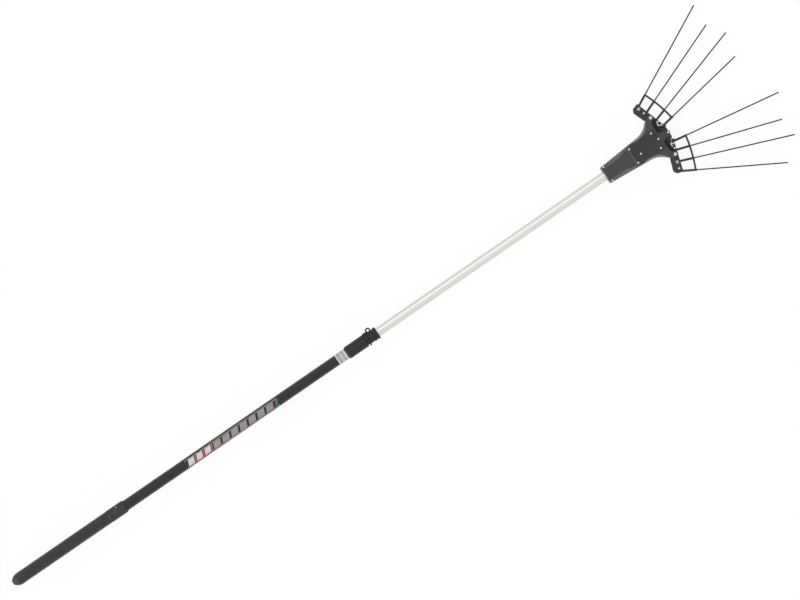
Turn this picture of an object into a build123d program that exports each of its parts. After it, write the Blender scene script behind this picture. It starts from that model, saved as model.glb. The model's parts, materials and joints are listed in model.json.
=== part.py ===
from build123d import *
import os
from math import atan2, cos, pi, radians, sin, sqrt, tan

# Electric olive harvester, in millimetres, lying flat with its combs level.
# Stations run along the pole from the grip's end; the pole axis is y = 0, z = 0 while modelling.
# The finished pieces are shifted so that the origin is under the middle of the whole tool.

# Driving dimensions of the pole: the lower half up to the clamp, and the bare upper tube ahead of it
LOWER_REACH = 1294.0
UPPER_REACH = 883.3
TUBE_OVERLAP = 114.0
GRIP_LENGTH = 372.0
GRIP_RADIUS = 20.4
GRIP_NOSE = 26.0
GRIP_END_RADIUS = 7.4
GRIP_LIP = 2.0
GLAND_RADIUS = 6.5
PLUG_BORE_RADIUS = 4.7
CABLE_BORE_RADIUS = 4.2
PLUG_LENGTH = 30.0
LOWER_TUBE_RADIUS = 17.5
LOWER_TUBE_WALL = 1.5
UPPER_TUBE_RADIUS = 15.0
UPPER_TUBE_WALL = 1.5
GUIDE_BUSH_LENGTH = 40.0
LEAD_RADIUS = 3.2
COIL_RADIUS = 9.0

# Switch housing at the front of the grip
SWITCH_LENGTH = 65.0
SWITCH_WALL = 3.4
SWITCH_CHAMFER = 6.0
SWITCH_REAR_CHAMFER = 2.5
SWITCH_LIP = 1.0
BUTTON_FROM_GRIP = 37.0
BUTTON_TILT_DEG = 35.0
BUTTON_RADIUS = 4.0
BUTTON_PROUD = 1.8
BUTTON_TRAVEL = 1.2
BUTTON_LENGTH = 8.0
BEZEL_RADIUS = 6.5
BEZEL_PROUD = 0.6
BUTTON_PLAY = 0.15
SWITCH_BODY = (24.0, 12.0, 8.0)
CARRIER_LENGTH = 34.0

# Telescopic clamp
BAND_LENGTH = 35.0
BAND_WALL = 0.4
SLEEVE_LENGTH = 75.0
SLEEVE_RADIUS = 21.2
SLEEVE_CHAMFER = 7.0
SLEEVE_TUBE_DEPTH = 50.0
EYE_RING_LENGTH = 32.5
EYE_RING_NECK = 17.4
EYE_RING_CORE = 18.6
EYE_FLANGE_RADIUS = 23.4
EYE_FLANGE_START = 4.5
EYE_FLANGE_LENGTH = 5.5
EYE_COLLAR_RADIUS = 21.4
EYE_COLLAR_LENGTH = 4.0
EYE_BORE_RADIUS = 4.0
EYE_OUTER_RADIUS = 9.0
EYE_THICKNESS = 8.0
EYE_OFFSET = 22.8
SPIGOT_LENGTH = 3.0
SPIGOT_RADIUS = 17.0
NUT_LENGTH = 13.5
NUT_CORE_RADIUS = 18.4
NUT_GRIP_RADIUS = 20.6
NUT_GRIP_LENGTH = 9.8
NUT_LIP = 3.0
NUT_FLUTES = 14
FLUTE_RADIUS = 1.6
COLLET_TAPER = 0.8
COLLET_SLIT = 2.0

# Head housing, in plan from the neck's rear end and from the comb pivots
NECK_REAR_HALF = 29.5
FLARE_BEHIND_PIVOT = 73.0
FLARE_HALF = 42.0
SHOULDER_BEHIND_PIVOT = 21.0
SHOULDER_Y = 74.0
ROOF_BEHIND_PIVOT = 9.0
FLOOR_AHEAD_PIVOT = 8.0
COMB_SLOT_BEHIND_PIVOT = 26.0
MOUTH_HALF = 51.4
MOUTH_OVERRUN = 40.0
HEAD_HALF_HEIGHT = 27.0
ARM_HALF_HEIGHT = 17.0
CREST_HALF = 44.0
SLOPE_END = 62.0
HEAD_WALL = 3.0
HEAD_FILLET = 4.0
# The flanks lean in towards the top: flat top of the neck, where it starts to widen, and its width at the cover
FLANK_DEG = 60.0
FLANK_TOP_HALF = 20.0
FLANK_FORK = 65.0
FLANK_FRONT_HALF = 32.5
FLANK_RUN = 1.6
SWEEP_FLANK = 7.0
SWEEP_FLANK_FOOT = 2.0
SWEEP_FLANK_SPARE = 0.5
SEAM_DEPTH = 0.8
SEAM_HALF_WIDTH = 0.5
SOCKET_DEPTH = 66.0
SADDLE_WIDTH = 5.0
TUBE_SADDLE_INSET = 10.0
MOTOR_SADDLE_INSET = 10.0
NOSE_AHEAD_PIVOT = 20.4
NOSE_RADIUS = 6.0
NOSE_TOP = 12.0
NOSE_ROOT = 6.0
NOSE_ROOT_HALF = 36.0
NOSE_FRONT_HALF = 17.0
NOSE_CORNER = 6.0
BRIDGE_HALF = 17.0
BRIDGE_WALL = 3.0
MOUTH_RIBS = (-24.0, -12.0, 12.0, 24.0)
RIB_WIDTH = 2.5
RIB_TOP = -9.0
RIB_ROOT = 8.0
COVER_SETBACK = 105.4
COVER_MARGIN = 4.0
COVER_REAR_HALF = 31.0
COVER_FRONT_HALF = 37.0
COVER_THICKNESS = 2.5
COVER_CORNER = 5.0
COVER_SCREW_SINK = 1.0
NECK_RIB_START = (68.4, 11.0)
NECK_RIB_END = (103.4, 27.0)
NECK_RIB_WIDTH = 2.4
NECK_RIB_HEIGHT = 1.2

# Screws
SCREW_HEAD_RADIUS = 3.4
SCREW_HEAD_HEIGHT = 2.2
SCREW_SHANK_RADIUS = 1.7
SCREW_LENGTH = 9.0
SCREW_SPARE = 0.5
SCREW_RECESS_GAP = 0.8
# Neck screws from the neck's rear end, cover screws from the cover's rear edge
NECK_SCREW = (10.9, 25.3)
NECK_SCREW_SEAT = 20.0
NECK_BOSS_RADIUS = 4.6
COVER_SCREWS = ((5.0, 26.0), (5.0, -26.0), (28.0, -7.0), (91.4, 28.2), (91.4, -28.2), (101.0, 0.0))

# Motor and bevel drive
MOTOR_RADIUS = 21.0
MOTOR_SETBACK = 73.4
MOTOR_LENGTH = 58.0
BOARD_RADIUS = 18.0
BOARD_THICKNESS = 1.6
GEARHEAD_RADIUS = 18.0
GEARHEAD_LENGTH = 14.0
SHAFT_RADIUS = 4.0
SHAFT_SEAT = 8.0
CRANK_AHEAD = 34.0
GEAR_MODULE = 1.6
PINION_TEETH = 12
CRANK_TEETH = 36
FACE_WIDTH = 9.0
TOOTH_ADDENDUM = 0.7
TOOTH_DEDENDUM = 1.15
TOOTH_ROOT = 0.3
PRESSURE_ANGLE_DEG = 22.0
BACKLASH = 1.0
PINION_WEB = 1.0
GEAR_WEB = 4.5
HUB_RADIUS = 15.0
HUB_FOOT_RADIUS = 7.0
HUB_TOP = -5.0
CRANK_PIN_DEPTH = 4.0
BEARING_RADIUS = 11.0
BEARING_WIDTH = 7.0
BEARING_BOSS = 15.0

# Yoke and combs
YOKE_REACH = 45.0
PIVOT_Y = 70.4
DRIVE_Y = 31.7
SWING_DEG = 10.0
DRIVE_PIN_RADIUS = 4.0
YOKE_THICKNESS = 6.0
YOKE_WALL = 5.0
YOKE_HEAD_HALF = 5.5
YOKE_END_WALL = 3.0
YOKE_LIFT = 1.0
YOKE_WINDOW_RADIUS = 4.0
RAIL_WALL = 3.0
RAIL_LEDGE = 3.7
RAIL_BEHIND_CRANK = 22.0
RAIL_LENGTH = 52.0
ROCKER_THICKNESS = 8.0
ROCKER_ARM_HALF = 6.5
ROCKER_TAIL_HALF = 8.0
ROCKER_END_WALL = 6.0
ROCKER_TAIL_TAPER = 2.0
ROCKER_SLOT_SHIFT = 0.3
ROCKER_SLOT_EXTRA = 2.4
ROCKER_TINE_GAP = 1.5
COMB_TILT_DEG = 17.4
COMB_THICKNESS = 18.0
COMB_SLOT_GAP = 1.0
PIVOT_PIN_RADIUS = 4.0
PIVOT_HEAD_RADIUS = 5.4
PIVOT_HEAD_HEIGHT = 3.0
PIVOT_BOSS_RADIUS = 9.5
BUSH_RADIUS = 6.0
WASHER_RADIUS = 8.0
BLOCK_INNER = 8.0
BLOCK_OUTER = 61.0
BLOCK_REAR = -20.0
BLOCK_TAPER = 2.0
BLOCK_CORNER = (10.0, 8.0)
BLOCK_ROUND = 5.0
BAR_REAR = 0.0
BAR_FRONT = 9.0
BAR_HEEL = -6.0
BAR_TIP_BEYOND = 8.5
BAR_TIP_AHEAD = 13.0
BAR_TIP_WIDTH = 8.0
COMB_BOSS_RADIUS = 9.0
COMB_EDGE = 1.0
COMB_SCREW_PLACES = ((25.5, -1.0), (47.0, -1.0))
BAR_SCREW_SPREAD = 7.5
BAR_SCREW_AHEAD = 4.2
SQUARE_NUT = 9.0
SQUARE_NUT_HEIGHT = 3.0
STRUT_RADIUS = 3.8
RAIL_BAR_WIDTH = 6.0
RAIL_BAR_HEIGHT = 7.0
STRUT_ROOT = 2.0
TINE_RADIUS = 2.2
TINE_TIP_ROUND = 1.8
TINE_DEPTH = 5.0
# Places of the struts along each bar, outer one first, and three points of the arched rail across them
LEFT_STRUTS = (52.5, 20.3, -19.3, -48.0)
RIGHT_STRUTS = (58.5, 25.6, -12.4, -41.8)
LEFT_RAIL = ((59.0, 47.0), (3.0, 48.8), (-53.0, 43.5))
RIGHT_RAIL = ((66.5, 48.5), (6.0, 52.5), (-47.5, 50.0))
# Fan angle of each tine from the comb's middle line, outer tine first; the tines differ a little
LEFT_FAN_DEG = (9.5, 3.9, -0.4, -8.0)
RIGHT_FAN_DEG = (12.6, 4.1, 1.0, -7.8)
# The outer tines end this far from the pole axis; the other three have their own reach from the bar
LEFT_HALF_SPAN = 290.5
RIGHT_HALF_SPAN = 298.5
LEFT_REACH = (338.0, 356.5, 317.5)
RIGHT_REACH = (377.0, 352.0, 370.0)

# Clearances
FIT = 0.05
RUNNING = 0.3
LOOP_GAP = 0.3
# How far a cutting tool runs past the face that it cuts
PAST = 1.0

# Places that follow from the sizes above
SWITCH_START = GRIP_LENGTH
SWITCH_END = SWITCH_START + SWITCH_LENGTH
SWITCH_RADIUS = LOWER_TUBE_RADIUS + SWITCH_WALL
BUTTON_X = SWITCH_START + BUTTON_FROM_GRIP
LOWER_BORE = LOWER_TUBE_RADIUS - LOWER_TUBE_WALL
UPPER_BORE = UPPER_TUBE_RADIUS - UPPER_TUBE_WALL
SLEEVE_START = LOWER_REACH
BAND_START = SLEEVE_START - BAND_LENGTH
UPPER_TUBE_START = SLEEVE_START - TUBE_OVERLAP
SLEEVE_END = SLEEVE_START + SLEEVE_LENGTH
LOWER_TUBE_END = SLEEVE_START + SLEEVE_TUBE_DEPTH
EYE_RING_END = SLEEVE_END + EYE_RING_LENGTH
EYE_X = EYE_RING_END - EYE_OUTER_RADIUS
NUT_START = EYE_RING_END + RUNNING
NUT_END = NUT_START + NUT_LENGTH
COLLET_START = EYE_RING_END + SPIGOT_LENGTH + RUNNING
COLLET_END = NUT_END - NUT_LIP - RUNNING
HEAD_START = NUT_END + UPPER_REACH
SOCKET_END = HEAD_START + SOCKET_DEPTH
MOTOR_START = HEAD_START + MOTOR_SETBACK
MOTOR_END = MOTOR_START + MOTOR_LENGTH
GEARHEAD_END = MOTOR_END + GEARHEAD_LENGTH
CRANK_X = GEARHEAD_END + CRANK_AHEAD
PIVOT_X = CRANK_X + YOKE_REACH
FLARE_START = PIVOT_X - FLARE_BEHIND_PIVOT
SHOULDER_X = PIVOT_X - SHOULDER_BEHIND_PIVOT
ROOF_FRONT = PIVOT_X - ROOF_BEHIND_PIVOT
FLOOR_FRONT = PIVOT_X + FLOOR_AHEAD_PIVOT
COMB_SLOT_START = PIVOT_X - COMB_SLOT_BEHIND_PIVOT
NOSE_X = PIVOT_X + NOSE_AHEAD_PIVOT
BRIDGE_FOOT = NOSE_TOP + BRIDGE_WALL
COVER_START = HEAD_START + COVER_SETBACK
COVER_END = ROOF_FRONT - COVER_MARGIN
COVER_TOP = HEAD_HALF_HEIGHT + COVER_THICKNESS
COVER_SEAT = COVER_TOP - COVER_SCREW_SINK
RAIL_START = CRANK_X - RAIL_BEHIND_CRANK
HEAD_SPAN = 2 * SHOULDER_Y
MOUTH_END = FLOOR_FRONT + MOUTH_OVERRUN
CARRIER_START = BUTTON_X - CARRIER_LENGTH / 2
CARRIER_END = BUTTON_X + CARRIER_LENGTH / 2
COIL_END = UPPER_TUBE_START + GUIDE_BUSH_LENGTH / 2
INNER_HALF_HEIGHT = HEAD_HALF_HEIGHT - HEAD_WALL
COMB_SLOT_HALF = COMB_THICKNESS / 2 + COMB_SLOT_GAP
ARM_REACH = PIVOT_Y - DRIVE_Y
CRANK_RADIUS = ARM_REACH * tan(radians(SWING_DEG))
YOKE_FLOOR = ROCKER_THICKNESS / 2 + YOKE_LIFT
YOKE_TOP = YOKE_FLOOR + YOKE_THICKNESS
SLOT_HALF_WIDTH = DRIVE_PIN_RADIUS + FIT
SLOT_HALF_LENGTH = CRANK_RADIUS + DRIVE_PIN_RADIUS + RUNNING
YOKE_HALF = SLOT_HALF_LENGTH + YOKE_WALL
PINION_PITCH = GEAR_MODULE * PINION_TEETH / 2
CRANK_PITCH = GEAR_MODULE * CRANK_TEETH / 2
CONE_LENGTH = sqrt(PINION_PITCH ** 2 + CRANK_PITCH ** 2)
PINION_CONE = atan2(PINION_PITCH, CRANK_PITCH)
CRANK_CONE = pi / 2 - PINION_CONE
AXIS_HEIGHT = HEAD_HALF_HEIGHT


def along_pole(x0, x1, outer, inner=0.0):
    """Round bar or tube on the pole axis between two stations."""
    place = Pos((x0 + x1) / 2, 0, 0) * Rot(0, 90, 0)
    body = place * Cylinder(outer, x1 - x0)
    if inner > 0:
        body -= place * Cylinder(inner, x1 - x0 + 2 * PAST)
    return body


def turned(*points):
    """Solid turned about the pole axis from (station, radius) points."""
    return revolve(make_face(Polyline(*points, close=True)), axis=Axis.X)


def post(x, y, z0, z1, outer, inner=0.0):
    """Upright round post or ring."""
    place = Pos(x, y, (z0 + z1) / 2)
    body = place * Cylinder(outer, z1 - z0)
    if inner > 0:
        body -= place * Cylinder(inner, z1 - z0 + 2 * PAST)
    return body


def block(x0, x1, y0, y1, z0, z1):
    """Plain block between two corners."""
    return Pos((x0 + x1) / 2, (y0 + y1) / 2, (z0 + z1) / 2) * Box(x1 - x0, y1 - y0, z1 - z0)


def slab(face, z0, z1):
    """Plan outline thickened between two heights."""
    return extrude(Pos(0, 0, z0) * face, amount=z1 - z0)


def screw(x, y, seat):
    """Pan-head screw standing in a face at the given height."""
    head = post(x, y, seat, seat + SCREW_HEAD_HEIGHT, SCREW_HEAD_RADIUS)
    return head + post(x, y, seat - SCREW_LENGTH, seat, SCREW_SHANK_RADIUS)


def screw_hole(x, y, seat):
    """Clearance for a screw's shank, and for its head above the seat."""
    hole = post(x, y, seat - SCREW_LENGTH - SCREW_SPARE, seat, SCREW_SHANK_RADIUS + FIT)
    return hole + post(x, y, seat, seat + 2 * HEAD_HALF_HEIGHT, SCREW_HEAD_RADIUS + SCREW_RECESS_GAP)


def upper_half(solid):
    """The part of a solid above the pole's level."""
    return split(solid, bisect_by=Plane.XY, keep=Keep.TOP)


def lower_half(solid):
    """The part of a solid below the pole's level."""
    return split(solid, bisect_by=Plane.XY, keep=Keep.BOTTOM)


def grip_pieces():
    """Rubber grip, cable gland and the plug in the tube's rear end."""
    nose = TangentArc((GRIP_NOSE, GRIP_RADIUS), (0, GRIP_END_RADIUS), tangent=(-1, 0))
    rest = Polyline((0, GRIP_END_RADIUS), (0, 0), (GRIP_LENGTH, 0), (GRIP_LENGTH, GRIP_RADIUS - GRIP_LIP / 2),
                    (GRIP_LENGTH - GRIP_LIP, GRIP_RADIUS), (GRIP_NOSE, GRIP_RADIUS))
    grip = revolve(make_face(nose + rest), axis=Axis.X)
    grip -= along_pole(GRIP_NOSE, GRIP_LENGTH + PAST, LOWER_TUBE_RADIUS)
    grip -= along_pole(-PAST, GRIP_NOSE + PAST, GLAND_RADIUS)
    plug_end = GRIP_NOSE + PLUG_LENGTH
    return {
        "grip": grip,
        "cable_gland": along_pole(0, GRIP_NOSE, GLAND_RADIUS - FIT, CABLE_BORE_RADIUS),
        "end_plug": along_pole(GRIP_NOSE, plug_end, LOWER_BORE - FIT, PLUG_BORE_RADIUS),
        "lower_lead": along_pole(plug_end, CARRIER_START, LEAD_RADIUS),
    }


def button_plane():
    """Plane on the pole axis whose normal points out through the button."""
    tilt = radians(BUTTON_TILT_DEG)
    return Plane(origin=(BUTTON_X, 0, 0), x_dir=(1, 0, 0), z_dir=(0, sin(tilt), cos(tilt)))


def radial_post(z0, z1, radius):
    """Round post along the button's line, from one distance to another off the pole axis."""
    return button_plane() * Pos(0, 0, (z0 + z1) / 2) * Cylinder(radius, z1 - z0)


def switch_pieces():
    """Two-part switch housing, the button, the switch and its carrier."""
    collar = turned((SWITCH_START, 0), (SWITCH_START, SWITCH_RADIUS - SWITCH_REAR_CHAMFER / 2),
                    (SWITCH_START + SWITCH_REAR_CHAMFER, SWITCH_RADIUS),
                    (SWITCH_END - SWITCH_CHAMFER, SWITCH_RADIUS),
                    (SWITCH_END, LOWER_TUBE_RADIUS + SWITCH_LIP), (SWITCH_END, 0))
    collar += radial_post(LOWER_TUBE_RADIUS, SWITCH_RADIUS + BEZEL_PROUD, BEZEL_RADIUS)
    collar -= along_pole(SWITCH_START - PAST, SWITCH_END + PAST, LOWER_TUBE_RADIUS)
    collar -= radial_post(0, 2 * SWITCH_RADIUS, BUTTON_RADIUS + BUTTON_PLAY)
    button_top = SWITCH_RADIUS + BUTTON_PROUD
    button_foot = button_top - BUTTON_LENGTH
    switch_top = button_foot - BUTTON_TRAVEL - RUNNING
    length, width, height = SWITCH_BODY
    module = button_plane() * Pos(0, 0, switch_top - height / 2) * Box(length, width, height)
    carrier = along_pole(CARRIER_START, CARRIER_END, LOWER_BORE - FIT)
    opening = button_plane() * Pos(0, 0, LOWER_BORE + switch_top - height)
    carrier -= opening * Box(CARRIER_LENGTH + 2 * PAST, 2 * LOWER_BORE, 2 * LOWER_BORE)
    return {
        "switch_housing_upper": upper_half(collar),
        "switch_housing_lower": lower_half(collar),
        "switch_button": radial_post(button_foot, button_top, BUTTON_RADIUS),
        "switch_module": module,
        "switch_carrier": carrier,
        "coiled_lead": along_pole(CARRIER_END, COIL_END, COIL_RADIUS),
    }


def tube_pieces():
    """Lower and upper pole tubes, the pale band and the guide bush."""
    lower_tube = along_pole(GRIP_NOSE, LOWER_TUBE_END, LOWER_TUBE_RADIUS, LOWER_BORE)
    lower_tube -= radial_post(0, 2 * LOWER_TUBE_RADIUS, BUTTON_RADIUS + RUNNING)
    return {
        "lower_tube": lower_tube,
        "tube_band": along_pole(BAND_START, SLEEVE_START, LOWER_TUBE_RADIUS + BAND_WALL, LOWER_TUBE_RADIUS),
        "upper_tube": along_pole(UPPER_TUBE_START, SOCKET_END, UPPER_TUBE_RADIUS, UPPER_BORE),
        "guide_bush": along_pole(UPPER_TUBE_START, UPPER_TUBE_START + GUIDE_BUSH_LENGTH,
                                 LOWER_BORE - 2 * FIT, UPPER_TUBE_RADIUS),
        "upper_lead": along_pole(COIL_END, MOTOR_START - BOARD_THICKNESS, LEAD_RADIUS),
    }


def clamp_pieces():
    """Clamp sleeve, flanged ring with its eye, lock nut and collet."""
    passage = UPPER_TUBE_RADIUS + RUNNING
    sleeve = turned((SLEEVE_START, 0), (SLEEVE_START, SLEEVE_RADIUS - SLEEVE_CHAMFER / 2),
                    (SLEEVE_START + SLEEVE_CHAMFER, SLEEVE_RADIUS), (SLEEVE_END, SLEEVE_RADIUS),
                    (SLEEVE_END, 0))
    sleeve -= along_pole(SLEEVE_START - PAST, LOWER_TUBE_END, LOWER_TUBE_RADIUS)
    sleeve -= along_pole(LOWER_TUBE_END - PAST, SLEEVE_END + PAST, passage)
    flange = SLEEVE_END + EYE_FLANGE_START
    eye_ring = along_pole(SLEEVE_END, flange, EYE_RING_NECK)
    eye_ring += along_pole(flange, EYE_RING_END, EYE_RING_CORE)
    eye_ring += along_pole(flange, flange + EYE_FLANGE_LENGTH, EYE_FLANGE_RADIUS)
    eye_ring += along_pole(EYE_RING_END - EYE_COLLAR_LENGTH, EYE_RING_END, EYE_COLLAR_RADIUS)
    eye_ring += along_pole(EYE_RING_END, EYE_RING_END + SPIGOT_LENGTH, SPIGOT_RADIUS)
    half = EYE_THICKNESS / 2
    eye_ring += post(EYE_X, EYE_OFFSET, -half, half, EYE_OUTER_RADIUS)
    eye_ring += block(SLEEVE_END, EYE_X, 0, EYE_OFFSET, -half, half)
    eye_ring -= along_pole(SLEEVE_END - PAST, NUT_END, passage)
    eye_ring -= post(EYE_X, EYE_OFFSET, -half - PAST, half + PAST, EYE_BORE_RADIUS)
    grip_start = NUT_END - NUT_GRIP_LENGTH
    nut = along_pole(NUT_START, NUT_END, NUT_CORE_RADIUS)
    nut += along_pole(grip_start, NUT_END, NUT_GRIP_RADIUS)
    flute = Pos((grip_start + NUT_END) / 2, 0, NUT_GRIP_RADIUS + FLUTE_RADIUS / 2) * Rot(0, 90, 0)
    flute = flute * Cylinder(FLUTE_RADIUS, NUT_GRIP_LENGTH + PAST)
    nut -= [Rot(360 * i / NUT_FLUTES, 0, 0) * flute for i in range(NUT_FLUTES)]
    rear = SPIGOT_RADIUS
    front = SPIGOT_RADIUS - COLLET_TAPER
    nut -= turned((NUT_START - PAST, 0), (NUT_START - PAST, rear + 2 * FIT), (COLLET_START, rear + 2 * FIT),
                  (COLLET_END + RUNNING, front + 2 * FIT), (COLLET_END + RUNNING, 0))
    nut -= along_pole(COLLET_END, NUT_END + PAST, passage)
    collet = turned((COLLET_START, 0), (COLLET_START, rear), (COLLET_END, front), (COLLET_END, 0))
    collet -= along_pole(COLLET_START - PAST, COLLET_END + PAST, UPPER_TUBE_RADIUS + FIT)
    collet -= block(COLLET_START - PAST, COLLET_END + PAST, 0, 2 * rear, -COLLET_SLIT / 2, COLLET_SLIT / 2)
    return {"clamp_sleeve": sleeve, "eye_ring": eye_ring, "lock_nut": nut, "collet": collet}


def neck_slope():
    """How much the neck's half width grows for each millimetre along it."""
    return (FLARE_HALF - NECK_REAR_HALF) / (FLARE_START - HEAD_START)


def shoulder_sweep(inset):
    """Plan arc from the neck out to the shoulder."""
    flare = (FLARE_START, FLARE_HALF - inset)
    shoulder = (SHOULDER_X + inset / 2, SHOULDER_Y - inset)
    return TangentArc(flare, shoulder, tangent=(1, neck_slope()))


def head_plan(inset, front, rear):
    """Plan of the head: tapered neck, flared shoulders and pivot bosses, cut off at the front edge."""
    slope = neck_slope()
    sweep = shoulder_sweep(inset)
    flare, shoulder = sweep @ 0, sweep @ 1
    side = Line((rear, NECK_REAR_HALF - inset + slope * (rear - HEAD_START)), flare)
    edge = Polyline(shoulder, (PIVOT_X, PIVOT_Y + PIVOT_BOSS_RADIUS - inset), (PIVOT_X, PIVOT_Y),
                    (PIVOT_X, PIVOT_Y - PIVOT_BOSS_RADIUS + inset), (front, MOUTH_HALF), (front, 0), (rear, 0),
                    side @ 0)
    half = make_face(side + sweep + edge)
    half += Pos(PIVOT_X, PIVOT_Y) * Circle(PIVOT_BOSS_RADIUS - inset)
    return half + mirror(half, about=Plane.XZ)


def head_section(crest_half, crest, slope_end, arm):
    """Cross section of the head: full height over the middle, sloping to thin shoulder arms."""
    reach = PIVOT_Y + 4 * PIVOT_BOSS_RADIUS
    points = ((crest_half, crest), (slope_end, arm), (reach, arm))
    upper = [(y, z) for y, z in points]
    lower = [(y, -z) for y, z in reversed(points)]
    left = [(-y, -z) for y, z in points]
    left_up = [(-y, z) for y, z in reversed(points)]
    outline = make_face(Polyline(*upper, *lower, *left, *left_up, close=True))
    rear = Plane(origin=(HEAD_START - PAST, 0, 0), x_dir=(0, 1, 0), z_dir=(1, 0, 0))
    return extrude(rear * outline, amount=MOUTH_END - HEAD_START + 2 * PAST)


def leaning_flanks(inset):
    """Cutters that lean the neck's and shoulders' sides in towards the top and the underside."""
    lean = radians(FLANK_DEG)
    top = FLANK_TOP_HALF - inset / sin(lean)
    fork = HEAD_START + FLANK_FORK
    widen = Vector(COVER_START - fork, FLANK_FRONT_HALF - FLANK_TOP_HALF, 0)
    wedge = make_face(Polyline((top - PAST / tan(lean), HEAD_HALF_HEIGHT + PAST),
                               (FLARE_HALF + PAST, HEAD_HALF_HEIGHT + PAST),
                               (FLARE_HALF + PAST, HEAD_HALF_HEIGHT - (FLARE_HALF + PAST - top) * tan(lean)),
                               close=True))
    arc = shoulder_sweep(0.0)
    foot = arc.radius + inset - SWEEP_FLANK_SPARE
    height = HEAD_HALF_HEIGHT - SWEEP_FLANK_FOOT
    cone = Pos(*arc.arc_center) * Pos(0, 0, SWEEP_FLANK_FOOT + height / 2)
    cone = cone * Cone(foot, foot + SWEEP_FLANK_SPARE + SWEEP_FLANK, height)
    upright = Plane(origin=(HEAD_START - PAST, 0, 0), x_dir=(0, 1, 0), z_dir=(1, 0, 0))
    forked = Plane(origin=(fork, 0, 0), x_dir=(0, 1, 0), z_dir=(1, 0, 0))
    right = [extrude(upright * wedge, amount=FLANK_FORK + PAST),
             extrude(forked * wedge, amount=widen.length * FLANK_RUN, dir=widen.normalized()), cone]
    cutters = []
    for cutter in right:
        both = [cutter, mirror(cutter, about=Plane.XZ)]
        cutters += both + [mirror(each, about=Plane.XY) for each in both]
    return cutters


def saddle(x, radius, cavity):
    """Cross wall in the neck that holds a round piece."""
    wall = block(x, x + SADDLE_WIDTH, -HEAD_SPAN, HEAD_SPAN, -HEAD_HALF_HEIGHT, HEAD_HALF_HEIGHT) & cavity
    return wall - along_pole(x - PAST, x + SADDLE_WIDTH + PAST, radius)


def head_shell(front):
    """Whole hollow head, before it is parted into its two shells."""
    outside = slab(head_plan(0.0, front, HEAD_START), -HEAD_HALF_HEIGHT, HEAD_HALF_HEIGHT)
    outside = outside & head_section(CREST_HALF, HEAD_HALF_HEIGHT, SLOPE_END, ARM_HALF_HEIGHT)
    outside -= leaning_flanks(0.0)
    rear_edges = [edge for edge in outside.edges() if edge.center().X < HEAD_START + PAST / 2]
    outside = fillet(rear_edges, HEAD_FILLET)
    hollow = slab(head_plan(HEAD_WALL, MOUTH_END, HEAD_START + HEAD_WALL), -HEAD_HALF_HEIGHT, HEAD_HALF_HEIGHT)
    hollow = hollow & head_section(CREST_HALF - HEAD_WALL, INNER_HALF_HEIGHT, SLOPE_END - HEAD_WALL,
                                   COMB_SLOT_HALF)
    hollow -= leaning_flanks(HEAD_WALL)
    shell = outside - hollow
    shell -= block(COMB_SLOT_START, MOUTH_END, -HEAD_SPAN, HEAD_SPAN, -COMB_SLOT_HALF, COMB_SLOT_HALF)
    seam = head_plan(-PAST, front, HEAD_START - PAST) - head_plan(SEAM_DEPTH, front, HEAD_START + SEAM_DEPTH)
    shell -= slab(seam, -SEAM_HALF_WIDTH, SEAM_HALF_WIDTH)
    shell -= along_pole(HEAD_START - PAST, HEAD_START + HEAD_WALL + PAST, UPPER_TUBE_RADIUS + FIT)
    tube_saddles = (HEAD_START + TUBE_SADDLE_INSET, SOCKET_END - SADDLE_WIDTH - TUBE_SADDLE_INSET)
    motor_saddles = (MOTOR_START + MOTOR_SADDLE_INSET, MOTOR_END - SADDLE_WIDTH - MOTOR_SADDLE_INSET)
    for x in tube_saddles:
        shell += saddle(x, UPPER_TUBE_RADIUS + FIT, hollow)
    for x in motor_saddles:
        shell += saddle(x, MOTOR_RADIUS + FIT, hollow)
    for side in (1, -1):
        shell -= post(PIVOT_X, side * PIVOT_Y, -HEAD_HALF_HEIGHT, HEAD_HALF_HEIGHT, PIVOT_PIN_RADIUS + FIT)
        x, y = HEAD_START + NECK_SCREW[0], side * NECK_SCREW[1]
        shell += post(x, y, 2 * SEAM_HALF_WIDTH, NECK_SCREW_SEAT, NECK_BOSS_RADIUS)
        shell -= screw_hole(x, y, NECK_SCREW_SEAT)
    return shell


def neck_ribs():
    """Two raised ribs on the neck that lead up to the front cover."""
    ribs = []
    for side in (1, -1):
        start = (HEAD_START + NECK_RIB_START[0], side * NECK_RIB_START[1])
        end = (HEAD_START + NECK_RIB_END[0], side * NECK_RIB_END[1])
        strip = make_face(offset(Line(start, end), amount=NECK_RIB_WIDTH / 2, side=Side.BOTH))
        ribs.append(slab(strip, HEAD_HALF_HEIGHT - HEAD_WALL / 2, HEAD_HALF_HEIGHT + NECK_RIB_HEIGHT))
    return ribs


def nose_bridge():
    """Sloping visor from the roof's front edge down to the nose, where a screw holds it on the lower shell."""
    root = ROOF_FRONT - HEAD_WALL
    plan = make_face(Polyline(
        (root, BRIDGE_HALF), (ROOF_FRONT, BRIDGE_HALF), (NOSE_X, NOSE_RADIUS),
        (NOSE_X, -NOSE_RADIUS), (ROOF_FRONT, -BRIDGE_HALF), (root, -BRIDGE_HALF), close=True))
    plan += Pos(NOSE_X, 0) * Circle(NOSE_RADIUS)
    foot = NOSE_X - NOSE_RADIUS
    tip = NOSE_X + NOSE_RADIUS
    side = make_face(Plane.XZ * Polyline(
        (root, HEAD_HALF_HEIGHT), (ROOF_FRONT, HEAD_HALF_HEIGHT), (foot, BRIDGE_FOOT), (tip, BRIDGE_FOOT),
        (tip, NOSE_TOP), (foot, NOSE_TOP), (ROOF_FRONT, INNER_HALF_HEIGHT), (root, INNER_HALF_HEIGHT),
        close=True))
    return slab(plan, 0, HEAD_HALF_HEIGHT) & extrude(side, amount=2 * BRIDGE_HALF, both=True)


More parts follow.
